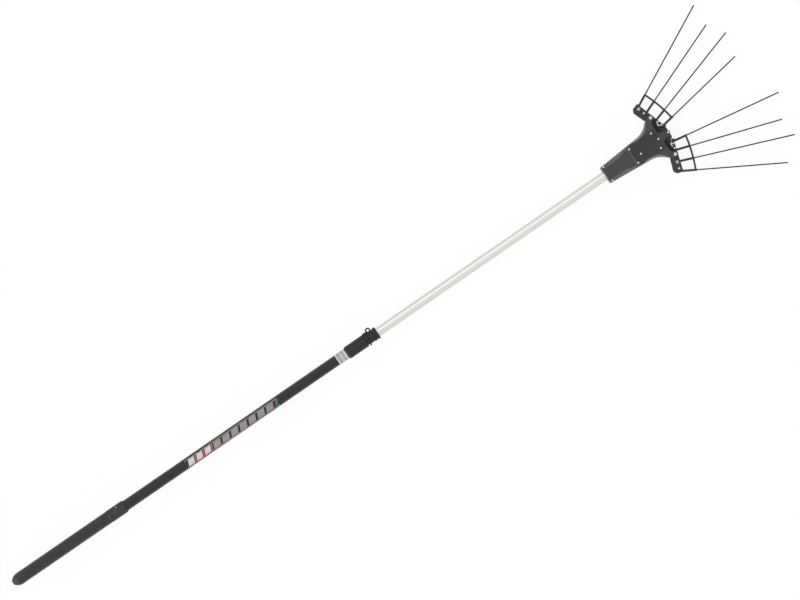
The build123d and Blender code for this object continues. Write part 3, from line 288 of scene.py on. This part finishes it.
# Points this near to a level count as on it
LEVEL_PLAY = 0.05 * MM
# Edges are rounded from this angle in degrees, and on pieces with chamfers their blunter edges too
ROUND_FROM = 38
CHAMFER_FROM = 20
CHAMFERED = ("switch_housing_upper", "switch_housing_lower", "clamp_sleeve")
# Facets that differ by less than the first angle become one face, and creases over the second stay sharp
FLAT_DEG, CREASE_DEG = 0.5, 28


def ramp_cover(bm):
    """Draws the foot of the cover's rear edge backwards: the edge becomes a ramp that catches light from behind."""
    top, rear = max(v.co.z for v in bm.verts), min(v.co.x for v in bm.verts)
    screws = [((low + high) / 2).xy for low, high in islands("cover_screws")]
    for vert in bm.verts:
        ease = 1 - (vert.co.x - rear) / COVER_CORNER
        clear = min((vert.co.xy - screw).length for screw in screws) > SCREW_CLEAR
        if vert.co.z < top - LEVEL_PLAY and ease > 0 and clear:
            vert.co.x -= COVER_RAMP * ease
    # Its slope takes the rubbed finish like the edges of the other moulded pieces: paler wear and a painted highlight
    # along the ramp
    bm.normal_update()
    for face in bm.faces:
        if face.normal.x < -0.3 and face.normal.z > 0.5:
            face.material_index = 1


def lower_ribs(bm):
    """Sets the ribs under the combs a little lower, so that the combs pass over them freely."""
    comb_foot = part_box("comb_frame_left")[0][2]
    for vert in bm.verts:
        if abs(vert.co.z - comb_foot) < LEVEL_PLAY:
            vert.co.z -= RIB_GAP


def dress(node, edge):
    """Copy of a CAD piece with its edges rounded to the given width in millimetres, in the plain piece's place."""
    bm = merged(node)
    bmesh.ops.dissolve_limit(bm, angle_limit=math.radians(FLAT_DEG), verts=bm.verts, edges=bm.edges)
    if node == "front_cover":
        ramp_cover(bm)
    if node == "housing_lower":
        lower_ribs(bm)
    obj = piece("dressed_" + node, bm, finish_of(node))
    bevel = obj.modifiers.new("edges", "BEVEL")
    bevel.width = edge * MM
    bevel.segments = 2
    bevel.limit_method = "ANGLE"
    bevel.angle_limit = math.radians(CHAMFER_FROM if node in CHAMFERED else ROUND_FROM)
    # The rounded edges take the rubbed finish: paler wear, and a painted highlight along them
    if finish_of(node, RUBBED_AND_HIGHLIT):
        obj.data.materials.append(finish_of(node, RUBBED_AND_HIGHLIT))
        bevel.material = 1
    settle(obj)
    soften(obj, CREASE_DEG)
    # Large faces keep their own direction, so that only the rounded edges turn the light
    obj.modifiers.new("even_faces", "WEIGHTED_NORMAL").keep_sharp = True
    settle(obj)
    return stands_for(obj, node)


def islands(node):
    """Boxes of the separate solids in a CAD piece."""
    bm = merged(node)
    left = set(bm.verts)
    boxes = []
    while left:
        group, front = set(), [left.pop()]
        while front:
            vert = front.pop()
            group.add(vert)
            for edge in vert.link_edges:
                other = edge.other_vert(vert)
                if other in left:
                    left.discard(other)
                    front.append(other)
        corners = [v.co.copy() for v in group]
        boxes.append((Vector([min(c[i] for c in corners) for i in range(3)]),
                      Vector([max(c[i] for c in corners) for i in range(3)])))
    bm.free()
    return sorted(boxes, key=lambda box: tuple(box[0]))


def turned(name, outline, material):
    """Round piece about the pole axis from a closed outline of (station, radius) points."""
    bm = bmesh.new()
    rings = []
    for x, radius in outline:
        ring = []
        for i in range(ROUND_STEPS):
            angle = 2 * math.pi * i / ROUND_STEPS
            ring.append(bm.verts.new((x, radius * math.cos(angle), AXIS_Z + radius * math.sin(angle))))
        rings.append(ring)
    for ring, after in zip(rings, rings[1:] + rings[:1]):
        for i in range(ROUND_STEPS):
            j = (i + 1) % ROUND_STEPS
            bm.faces.new((ring[i], ring[j], after[j], after[i]))
    bmesh.ops.recalc_face_normals(bm, faces=bm.faces)
    return piece(name, bm, material)


def arc(start, end, centre, steps):
    """Points on a quarter of an ellipse from start to end about a centre, both ends included."""
    points = []
    for i in range(steps + 1):
        turn = math.pi / 2 * i / steps
        a, b = math.cos(turn), math.sin(turn)
        points.append(tuple(c + a * (s - c) + b * (e - c) for c, s, e in zip(centre, start, end)))
    return points


# Screws and tines come from node trees

def tree_with(name, sizes):
    """Empty geometry tree with one input mesh, the named size inputs and a material input."""
    tree = bpy.data.node_groups.new(name, "GeometryNodeTree")
    tree.interface.new_socket("Geometry", in_out="OUTPUT", socket_type="NodeSocketGeometry")
    tree.interface.new_socket("Geometry", in_out="INPUT", socket_type="NodeSocketGeometry")
    for size in sizes:
        tree.interface.new_socket(size, in_out="INPUT", socket_type="NodeSocketFloat")
    tree.interface.new_socket("Finish", in_out="INPUT", socket_type="NodeSocketMaterial")
    return tree


def close_tree(tree, entry, made):
    """Realizes the instances, gives them the finish and ends the tree."""
    real = add(tree, "GeometryNodeRealizeInstances", {"Geometry": made})
    done = add(tree, "GeometryNodeSetMaterial", {"Geometry": real.outputs[0], "Material": entry.outputs["Finish"]})
    add(tree, "NodeGroupOutput", {"Geometry": done.outputs[0]})


def grow(obj, tree, values):
    """Runs a tree on an object, with its named inputs set, and keeps the result as a plain mesh."""
    modifier = obj.modifiers.new(tree.name, "NODES")
    modifier.node_group = tree
    for item in tree.interface.items_tree:
        if item.in_out == "INPUT" and item.name in values:
            modifier[item.identifier] = values[item.name]
    settle(obj)
    # The tree's result has an empty slot ahead of its finish
    obj.data.materials.clear()
    obj.data.materials.append(values["Finish"])


# Sides of the round forms in the trees
HEAD_SIDES, SHANK_SIDES, ROD_SIDES, BALL_RINGS = 28, 16, 20, 10
# A screw's upright rim as a share of its head's height, then each step of its crown: how far the top face is lifted,
# as a share of that height, and how much it is narrowed
RIM_SHARE = 0.45
CROWN_STEPS = ((0.3, 0.9), (0.2, 0.72), (0.05, 0.45))
# The cross recess: length and width of its arms as shares of the head's radius
CROSS_LENGTH, CROSS_WIDTH = 1.15, 0.24


def screw_tree():
    """Pan-head screws with a cross recess, one at each vertex, heads up."""
    tree = tree_with("pan_head_screws", ("Head radius", "Head height", "Shank radius", "Shank length"))
    entry = add(tree, "NodeGroupInput")
    radius, height = entry.outputs["Head radius"], entry.outputs["Head height"]
    rim = add(tree, "ShaderNodeMath", {0: height, 1: RIM_SHARE}, operation="MULTIPLY")
    disc = add(tree, "GeometryNodeMeshCylinder", {"Vertices": HEAD_SIDES, "Radius": radius, "Depth": rim.outputs[0]})
    half_rim = add(tree, "ShaderNodeMath", {0: rim.outputs[0], 1: 0.5}, operation="MULTIPLY")
    lifted = add(tree, "ShaderNodeCombineXYZ", {"Z": half_rim.outputs[0]})
    seated = add(tree, "GeometryNodeTransform", {"Geometry": disc.outputs[0], "Translation": lifted.outputs[0]})
    body, top = seated.outputs[0], disc.outputs["Top"]
    for lift, narrow in CROWN_STEPS:
        rise = add(tree, "ShaderNodeMath", {0: height, 1: lift}, operation="MULTIPLY")
        step = add(tree, "GeometryNodeExtrudeMesh", {"Mesh": body, "Selection": top,
                                                     "Offset Scale": rise.outputs[0]}, mode="FACES")
        top = step.outputs["Top"]
        shrink = add(tree, "GeometryNodeScaleElements", {"Geometry": step.outputs[0], "Selection": top,
                                                         "Scale": narrow})
        body = shrink.outputs[0]
    arm = add(tree, "ShaderNodeMath", {0: radius, 1: CROSS_LENGTH}, operation="MULTIPLY")
    slit = add(tree, "ShaderNodeMath", {0: radius, 1: CROSS_WIDTH}, operation="MULTIPLY")
    long_way = add(tree, "ShaderNodeCombineXYZ", {"X": arm.outputs[0], "Y": slit.outputs[0], "Z": height})
    cross_way = add(tree, "ShaderNodeCombineXYZ", {"X": slit.outputs[0], "Y": arm.outputs[0], "Z": height})
    bars = [add(tree, "GeometryNodeMeshCube", {"Size": way.outputs[0]}).outputs[0] for way in (long_way, cross_way)]
    cross = add(tree, "GeometryNodeMeshBoolean", {"Mesh 2": bars[0]}, operation="UNION", solver="EXACT")
    tree.links.new(bars[1], cross.inputs["Mesh 2"])
    raised = add(tree, "ShaderNodeCombineXYZ", {"Z": height})
    sunk = add(tree, "GeometryNodeTransform", {"Geometry": cross.outputs[0], "Translation": raised.outputs[0]})
    head = add(tree, "GeometryNodeMeshBoolean", {"Mesh 1": body, "Mesh 2": sunk.outputs[0]}, operation="DIFFERENCE",
               solver="EXACT")
    shank = add(tree, "GeometryNodeMeshCylinder", {"Vertices": SHANK_SIDES, "Radius": entry.outputs["Shank radius"],
                                                   "Depth": entry.outputs["Shank length"]})
    drop = add(tree, "ShaderNodeMath", {0: entry.outputs["Shank length"], 1: -0.5}, operation="MULTIPLY")
    below = add(tree, "ShaderNodeCombineXYZ", {"Z": drop.outputs[0]})
    stem = add(tree, "GeometryNodeTransform", {"Geometry": shank.outputs[0], "Translation": below.outputs[0]})
    screw = add(tree, "GeometryNodeJoinGeometry", {0: head.outputs[0]})
    tree.links.new(stem.outputs[0], screw.inputs[0])
    set_out = add(tree, "GeometryNodeInstanceOnPoints", {"Points": entry.outputs["Geometry"],
                                                         "Instance": screw.outputs[0]})
    close_tree(tree, entry, set_out.outputs[0])
    return tree


def rod_tree():
    """Round rods with domed ends along the edges of a mesh."""
    tree = tree_with("round_rods", ("Radius",))
    entry = add(tree, "NodeGroupInput")
    line = add(tree, "GeometryNodeMeshToCurve", {"Mesh": entry.outputs["Geometry"]})
    ring = add(tree, "GeometryNodeCurvePrimitiveCircle", {"Resolution": ROD_SIDES,
                                                          "Radius": entry.outputs["Radius"]})
    rod = add(tree, "GeometryNodeCurveToMesh", {"Curve": line.outputs[0], "Profile Curve": ring.outputs[0],
                                                "Fill Caps": True})
    ball = add(tree, "GeometryNodeMeshUVSphere", {"Segments": ROD_SIDES, "Rings": BALL_RINGS,
                                                  "Radius": entry.outputs["Radius"]})
    ends = add(tree, "GeometryNodeInstanceOnPoints", {"Points": line.outputs[0], "Instance": ball.outputs[0]})
    both = add(tree, "GeometryNodeJoinGeometry", {0: rod.outputs[0]})
    tree.links.new(ends.outputs[0], both.inputs[0])
    close_tree(tree, entry, both.outputs[0])
    return tree


SCREWS = screw_tree()
RODS = rod_tree()
SCREW_HEAD_HEIGHT = 2.2 * MM
SCREW_SHANK_RADIUS = 1.7 * MM
# A solid wider than NUT_FROM is a square nut. Its corners reach NUT_CORNER times its half width.
NUT_FROM = 8.0 * MM
NUT_HEIGHT = 3.0 * MM
NUT_CHAMFER = 0.7 * MM
NUT_CORNER = 1.36
NUT_STEPS = 48
TINE_END = 2 * MM


def square_nut(bm, low, high):
    """Square nut on the end of its bolt: one closed skin of rings from the bolt's foot up to its chamfered end."""
    middle = (low + high) / 2
    turn = math.copysign(COMB_TILT, middle.y)
    half = (high.x - low.x) / (math.cos(COMB_TILT) + math.sin(COMB_TILT)) / 2
    foot, top = high.z - NUT_HEIGHT, high.z
    bolt = SCREW_SHANK_RADIUS
    # Each ring: height, radius, and whether it is square. The last four are the bolt's end in the nut's bore.
    rings = ((low.z, bolt, 0), (foot, bolt, 0), (foot, half, 1), (top - NUT_CHAMFER, half, 1), (top, 0.9 * half, 0),
             (top, bolt + 0.5 * MM, 0), (top - 0.5 * MM, bolt + 0.1 * MM, 0), (top - 0.4 * MM, bolt, 0),
             (top, bolt - 0.3 * MM, 0))
    made = []
    for z, radius, square in rings:
        ring = []
        for i in range(NUT_STEPS):
            angle = 2 * math.pi * i / NUT_STEPS
            corner = 1 / max(abs(math.cos(angle)), abs(math.sin(angle)))
            reach = min(corner, NUT_CORNER) if square else 1
            ring.append(bm.verts.new((middle.x + reach * radius * math.cos(angle + turn),
                                      middle.y + reach * radius * math.sin(angle + turn), z)))
        made.append(ring)
    faces = [bm.faces.new(list(reversed(made[0]))), bm.faces.new(made[-1])]
    for ring, after in zip(made, made[1:]):
        for i in range(NUT_STEPS):
            j = (i + 1) % NUT_STEPS
            faces.append(bm.faces.new((ring[i], ring[j], after[j], after[i])))
    for face in faces:
        face.material_index = 1
    bmesh.ops.recalc_face_normals(bm, faces=faces)


def screw_set(node):
    """Screws in the places of a CAD piece's screws, and a square nut where the CAD piece has one."""
    boxes = islands(node)
    nuts = [box for box in boxes if box[1].x - box[0].x > NUT_FROM]
    bm = bmesh.new()
    for low, high in boxes:
        if (low, high) not in nuts:
            bm.verts.new(((low.x + high.x) / 2, (low.y + high.y) / 2, high.z - SCREW_HEAD_HEIGHT))
            size = high - low
    obj = piece("heads_" + node, bm, FINISHES["zinc_steel"])
    grow(obj, SCREWS, {"Head radius": size.x / 2, "Head height": SCREW_HEAD_HEIGHT,
                       "Shank radius": SCREW_SHANK_RADIUS, "Shank length": size.z - SCREW_HEAD_HEIGHT,
                       "Finish": FINISHES["zinc_steel"]})
    bm = bmesh.new()
    bm.from_mesh(obj.data)
    # The cut leaves a few points behind that no face uses
    bmesh.ops.delete(bm, geom=[vert for vert in bm.verts if not vert.link_faces], context="VERTS")
    for low, high in nuts:
        square_nut(bm, low, high)
    bm.to_mesh(obj.data)
    bm.free()
    if nuts:
        obj.data.materials.append(DULL_ZINC)
    soften(obj, 30)
    return stands_for(obj, node)


def tine_set(side):
    """The four tines of one comb, each along the line of its CAD rod."""
    bm = bmesh.new()
    names = [f"tine_{side}_{i}" for i in (1, 2, 3, 4)]
    for node in names:
        points = [v.co.copy() for v in frame["nodes"][node].data.vertices]
        rear = min(points, key=lambda p: p.x)
        tip = max(points, key=lambda p: p.x)
        along = (tip - rear).normalized()
        reach = [(p - rear).dot(along) for p in points]
        near = [p for p, r in zip(points, reach) if r < TINE_END]
        radius = (max(p.z for p in points) - min(p.z for p in points)) / 2
        root = sum(near, Vector()) / len(near)
        far = [p for p, r in zip(points, reach) if r > max(reach) - TINE_END]
        end = sum(far, Vector()) / len(far)
        line = (end - root).normalized()
        length = max((p - root).dot(line) for p in points)
        start = bm.verts.new((*(root + line * radius).xy, AXIS_Z))
        stop = bm.verts.new((*(root + line * (length - radius)).xy, AXIS_Z))
        bm.edges.new((start, stop))
    obj = piece("tines_" + side, bm, FINISHES["tine_rod"])
    grow(obj, RODS, {"Radius": radius, "Finish": FINISHES["tine_rod"]})
    soften(obj, 40)
    return stands_for(obj, *names)


# The pole: grip, tubes and band

NOSE_STEPS = 14
LIP_STEPS = 4
GRIP_LIP = 2 * MM
GRIP_END_RADIUS = 7.4 * MM
GRIP_MOUTH = 6.5 * MM
# The tube's hole for the button: plain tube kept on each side of it, its play and its sides
HOLE_ROOM = 6 * MM
HOLE_PLAY = 0.3 * MM
HOLE_SIDES = 40


def grip_piece():
    """Rubber grip with a round nose and a soft front lip."""
    low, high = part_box("grip")
    lip, mouth = GRIP_LIP, GRIP_MOUTH
    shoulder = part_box("end_plug")[0][0]
    nose, fall = shoulder - low[0], GRIP_RADIUS - GRIP_END_RADIUS
    # The nose is an arc that leaves the grip's side without a corner and meets the end face
    bend = (nose ** 2 + fall ** 2) / (2 * fall)
    outline = [(low[0], mouth)]
    for i in range(NOSE_STEPS + 1):
        turn = math.asin(nose / bend) * (1 - i / NOSE_STEPS)
        outline.append((shoulder - bend * math.sin(turn), GRIP_RADIUS - bend * (1 - math.cos(turn))))
    outline += [(high[0] - 2 * lip, GRIP_RADIUS)]
    outline += arc((high[0] - lip, GRIP_RADIUS), (high[0], GRIP_RADIUS - lip / 2),
                   (high[0] - lip, GRIP_RADIUS - lip / 2), LIP_STEPS)
    outline += [(high[0], LOWER_RADIUS), (shoulder, LOWER_RADIUS), (shoulder, mouth)]
    return stands_for(turned("grip_sleeve", outline, FINISHES["grip_rubber"]), "grip")


def tube_piece(node, name, through=None):
    """Drawn tube with its wall, and a hole for a piece that goes through the wall."""
    low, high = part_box(node)
    outer = (high[1] - low[1]) / 2
    inner = outer - TUBE_WALL
    stations = [low[0], high[0]]
    if through:
        near, far = (Vector(corner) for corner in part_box(through))
        middle = (near + far) / 2
        stations[1:1] = [near.x - HOLE_ROOM, far.x + HOLE_ROOM]
    outline = [(x, outer) for x in stations] + [(x, inner) for x in reversed(stations)]
    obj = turned(name, outline, FINISHES[SLOT_OF[node]])
    if through:
        axis = Vector((0, middle.y, middle.z - AXIS_Z))
        hole = (far.x - near.x) / 2 + HOLE_PLAY
        bm = bmesh.new()
        bmesh.ops.create_cone(bm, cap_ends=True, segments=HOLE_SIDES, radius1=hole, radius2=hole, depth=outer)
        bmesh.ops.transform(bm, matrix=axis.to_track_quat("Z", "Y").to_matrix().to_4x4(), verts=bm.verts)
        bmesh.ops.translate(bm, vec=Vector((middle.x, 0, AXIS_Z)) + axis.normalized() * outer, verts=bm.verts)
        drill = piece("drill", bm, FINISHES[SLOT_OF[node]])
        cut = obj.modifiers.new("hole", "BOOLEAN")
        cut.object = drill
        settle(obj)
        bpy.data.objects.remove(drill)
        soften(obj, 35)
    return stands_for(obj, node)


def band_piece():
    """Printed band round the lower tube: white edges, a grey ring at each side and a pale middle."""
    low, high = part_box("tube_band")
    outer = (high[1] - low[1]) / 2
    # Share of the band's length at which each ring of colour ends
    ends = ((0.16, "white"), (0.31, "grey"), (0.70, "pale"), (0.80, "grey"), (1.0, "white"))
    inks = {"pale": FINISHES["pale_band"], "white": INKS["white"], "grey": INKS["grey"]}
    stations = [low[0]] + [low[0] + share * (high[0] - low[0]) for share, _ in ends]
    outline = [(low[0], LOWER_RADIUS)] + [(x, outer) for x in stations] + [(high[0], LOWER_RADIUS)]
    obj = turned("printed_band", outline, inks["pale"])
    order = list(inks)
    for ink in order[1:]:
        obj.data.materials.append(inks[ink])
    for face in obj.data.polygons:
        for (share, ink), start, end in zip(ends, stations, stations[1:]):
            if start < face.center.x < end:
                face.material_index = order.index(ink)
    return stands_for(obj, "tube_band")


# A row of slanted bars between two thin lines along the lower tube. Stations are millimetres from the grip's end,
# angles are degrees from the top towards the left side, and the lean is how far a bar's left edge runs ahead.
BAR_RIGHT, BAR_LEFT, BAR_LEAN = -45, 25, 9


def bar_row(start, count, length, gap):
    """Places of equal bars in a row."""
    starts = [start + i * (length + gap) for i in range(count)]
    return [(station, station + length, BAR_RIGHT, BAR_LEFT, BAR_LEAN) for station in starts]


PRINT = {
    "white": [(671, 1028, -56, -52, 0), (671, 1028, 32, 36, 0)] + bar_row(676, 3, 22, 10),
    "red": bar_row(701, 3, 5, 27),
    "grey": bar_row(774, 7, 26, 8),
    "green": bar_row(1012, 1, 11, 8),
}
PRINT_RISE = 0.06 * MM
PRINT_STEP_DEG = 4


def printed_bars(ink, bars):
    """Thin curved bars of one ink on the lower tube, each a closed skin sunk a little into the tube's surface."""
    bm = bmesh.new()
    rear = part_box("grip")[0][0]
    outer, inner = LOWER_RADIUS + PRINT_RISE, LOWER_RADIUS - PRINT_RISE
    for start, end, right, left, lean in bars:
        steps = max(2, round((left - right) / PRINT_STEP_DEG))
        rows = []
        for i in range(steps + 1):
            share = i / steps
            angle = math.radians(right + (left - right) * share)
            ahead = rear + lean * share * MM
            side, up = math.sin(angle), math.cos(angle)
            rows.append([bm.verts.new((ahead + x * MM, radius * side, AXIS_Z + radius * up))
                         for x, radius in ((start, outer), (end, outer), (end, inner), (start, inner))])
        bm.faces.new(rows[0])
        bm.faces.new(list(reversed(rows[-1])))
        for row, after in zip(rows, rows[1:]):
            for i in range(4):
                j = (i + 1) % 4
                bm.faces.new((row[i], after[i], after[j], row[j]))
    bmesh.ops.recalc_face_normals(bm, faces=bm.faces)
    obj = piece("print_" + ink, bm, INKS[ink])
    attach(obj, BODY_OF["lower_tube"])


COIL_TURNS = 15.0
COIL_STEPS = 24
WIRE_RADIUS = 2.4 * MM
WIRE_SIDES = 10


def coil_tree():
    """Helix of round wire along the pole."""
    tree = tree_with("wire_helix", ("Turns", "Coil radius", "Wire radius", "Length", "Start", "Height"))
    entry = add(tree, "NodeGroupInput")
    radius = entry.outputs["Coil radius"]
    path = add(tree, "GeometryNodeCurveSpiral", {"Resolution": COIL_STEPS, "Rotations": entry.outputs["Turns"],
                                                 "Start Radius": radius, "End Radius": radius,
                                                 "Height": entry.outputs["Length"]})
    ring = add(tree, "GeometryNodeCurvePrimitiveCircle", {"Resolution": WIRE_SIDES,
                                                          "Radius": entry.outputs["Wire radius"]})
    wire = add(tree, "GeometryNodeCurveToMesh", {"Curve": path.outputs[0], "Profile Curve": ring.outputs[0],
                                                 "Fill Caps": True})
    place = add(tree, "ShaderNodeCombineXYZ", {"X": entry.outputs["Start"], "Z": entry.outputs["Height"]})
    laid = add(tree, "GeometryNodeTransform", {"Geometry": wire.outputs[0], "Translation": place.outputs[0],
                                               "Rotation": (0, math.pi / 2, 0)})
    close_tree(tree, entry, laid.outputs[0])
    return tree


def coil_piece():
    """Coiled lead inside the tubes, as a fixed helix; the real lead closes up as the pole slides in."""
    low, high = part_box("coiled_lead")
    length = high[0] - low[0]
    obj = piece("coiled_lead_wire", bmesh.new(), FINISHES["cable_rubber"])
    grow(obj, coil_tree(), {"Turns": COIL_TURNS, "Coil radius": (high[1] - low[1]) / 2 - WIRE_RADIUS,
                            "Wire radius": WIRE_RADIUS, "Length": length, "Start": low[0], "Height": AXIS_Z,
                            "Finish": FINISHES["cable_rubber"]})
    soften(obj, 60)
    stands_for(obj, "coiled_lead")
    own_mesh(obj)


grip_piece()
tube_piece("lower_tube", "lower_pole_tube", "switch_button")
tube_piece("upper_tube", "upper_pole_tube")
band_piece()
for ink, bars in PRINT.items():
    printed_bars(ink, bars)
coil_piece()

# Moulded and machined pieces that show, with the width of their rounded edges in millimetres
EDGES = {
    "cable_gland": 0.5, "switch_housing_upper": 0.4, "switch_housing_lower": 0.4, "switch_button": 0.6,
    "clamp_sleeve": 0.8, "eye_ring": 0.6, "lock_nut": 0.4,
    "housing_upper": 0.7, "housing_lower": 0.7, "front_cover": 0.2,
    "pivot_pin_left": 0.8, "pivot_pin_right": 0.8, "yoke": 0.4, "yoke_pins": 0.4, "yoke_rails": 0.3,
    "rocker_left": 0.4, "rocker_right": 0.4, "comb_frame_left": 0.5, "comb_frame_right": 0.5,
    "pivot_washers_left": 0.1, "pivot_washers_right": 0.1,
}
for node, edge in EDGES.items():
    dress(node, edge)
for node in ("housing_screws", "cover_screws", "comb_screws_left", "comb_screws_right"):
    screw_set(node)
for side in ("left", "right"):
    tine_set(side)

# Pieces inside the tubes and the head keep their CAD shape and get their finish
for node, obj in frame["nodes"].items():
    obj.data.materials.clear()
    obj.data.materials.append(finish_of(node))


# Floor, light and camera

# Strength of the white surroundings as light on the tool, and the share of the floor's own white beside its shadow
ROOM_GLOW = 0.6
FLOOR_WHITE = 0.93
FLOOR_REACH = 40.0
FLOOR_DROP = 0.5 * MM
# The camera: sensor and lens in millimetres, width of the view in metres, its middle from the grip's end and from the
# pole axis, and its turn in degrees
SENSOR, LENS = 36.0, 200.0
VIEW_WIDTH = 2.56
VIEW_STATION, VIEW_SIDE = 1.5331, 0.0443
VIEW_TURN = -34.53
# Each lamp: name, direction to it, strength, and the angle in degrees that it fills in the sky
LAMPS = (("soft_key", (-0.1, 0.5, 0.86), 0.2, 36), ("rear_right", (-0.8, -0.45, 0.4), 0.9, 50),
         ("rear_middle", (-0.85, 0.0, 0.53), 1.2, 50), ("rear_left", (-0.8, 0.45, 0.4), 0.7, 50))


def seen(tree):
    """1 for what the camera sees, also in a gloss or through glass, and 0 for light that falls on things."""
    path = add(tree, "ShaderNodeLightPath").outputs
    either = add(tree, "ShaderNodeMath", {0: path["Is Camera Ray"], 1: path["Is Glossy Ray"]}, operation="MAXIMUM")
    return add(tree, "ShaderNodeMath", {0: either.outputs[0], 1: path["Is Transmission Ray"]},
               operation="MAXIMUM").outputs[0]


def white_room():
    """Even white surroundings with four soft lamps: overhead from the left, and three low behind."""
    world = bpy.data.worlds.new("studio")
    bpy.context.scene.world = world
    world.use_nodes = True
    tree = world.node_tree
    tree.nodes.clear()
    glow = add(tree, "ShaderNodeBackground", {"Color": linear("#ffffff"), "Strength": ROOM_GLOW})
    white = add(tree, "ShaderNodeBackground", {"Color": linear("#ffffff"), "Strength": 1.0})
    mix = add(tree, "ShaderNodeMixShader", {0: seen(tree), 1: glow.outputs[0], 2: white.outputs[0]})
    add(tree, "ShaderNodeOutputWorld", {"Surface": mix.outputs[0]})
    for name, toward, energy, angle in LAMPS:
        lamp = bpy.data.lights.new(name, "SUN")
        lamp.energy = energy
        lamp.angle = math.radians(angle)
        sun = bpy.data.objects.new(name, lamp)
        sun.rotation_euler = Vector(toward).to_track_quat("Z", "Y").to_euler()
        bpy.context.scene.collection.objects.link(sun)


def pale_floor():
    """Wide white floor just under the tool, seen as white with a trace of the tool's shadow."""
    bm = bmesh.new()
    corners = ((-1, -1), (1, -1), (1, 1), (-1, 1))
    bm.faces.new([bm.verts.new((x * FLOOR_REACH, y * FLOOR_REACH, -FLOOR_DROP)) for x, y in corners])
    material = bpy.data.materials.new("white_studio_floor")
    material.use_nodes = True
    tree = material.node_tree
    tree.nodes.clear()
    share = add(tree, "ShaderNodeMath", {0: seen(tree), 1: FLOOR_WHITE}, operation="MULTIPLY")
    matte = add(tree, "ShaderNodeBsdfDiffuse", {"Color": linear("#f4f4f3")})
    white = add(tree, "ShaderNodeEmission", {"Color": linear("#ffffff"), "Strength": 1.0})
    mix = add(tree, "ShaderNodeMixShader", {0: share.outputs[0], 1: matte.outputs[0], 2: white.outputs[0]})
    add(tree, "ShaderNodeOutputMaterial", {"Surface": mix.outputs[0]})
    piece("studio_floor", bm, material)


def camera():
    """Camera straight above the tool, turned so that the pole rises to the right as in the photograph."""
    lens = bpy.data.cameras.new("photo_camera")
    lens.sensor_width = SENSOR
    lens.lens = LENS
    lens.clip_end = 100.0
    view = bpy.data.objects.new("photo_camera", lens)
    view.location = (cad_box[0][0] + VIEW_STATION, VIEW_SIDE, AXIS_Z + VIEW_WIDTH * LENS / SENSOR)
    view.rotation_euler = (0, 0, math.radians(VIEW_TURN))
    bpy.context.scene.collection.objects.link(view)
    bpy.context.scene.camera = view


white_room()
pale_floor()
camera()
bpy.context.scene.view_settings.view_transform = "Standard"
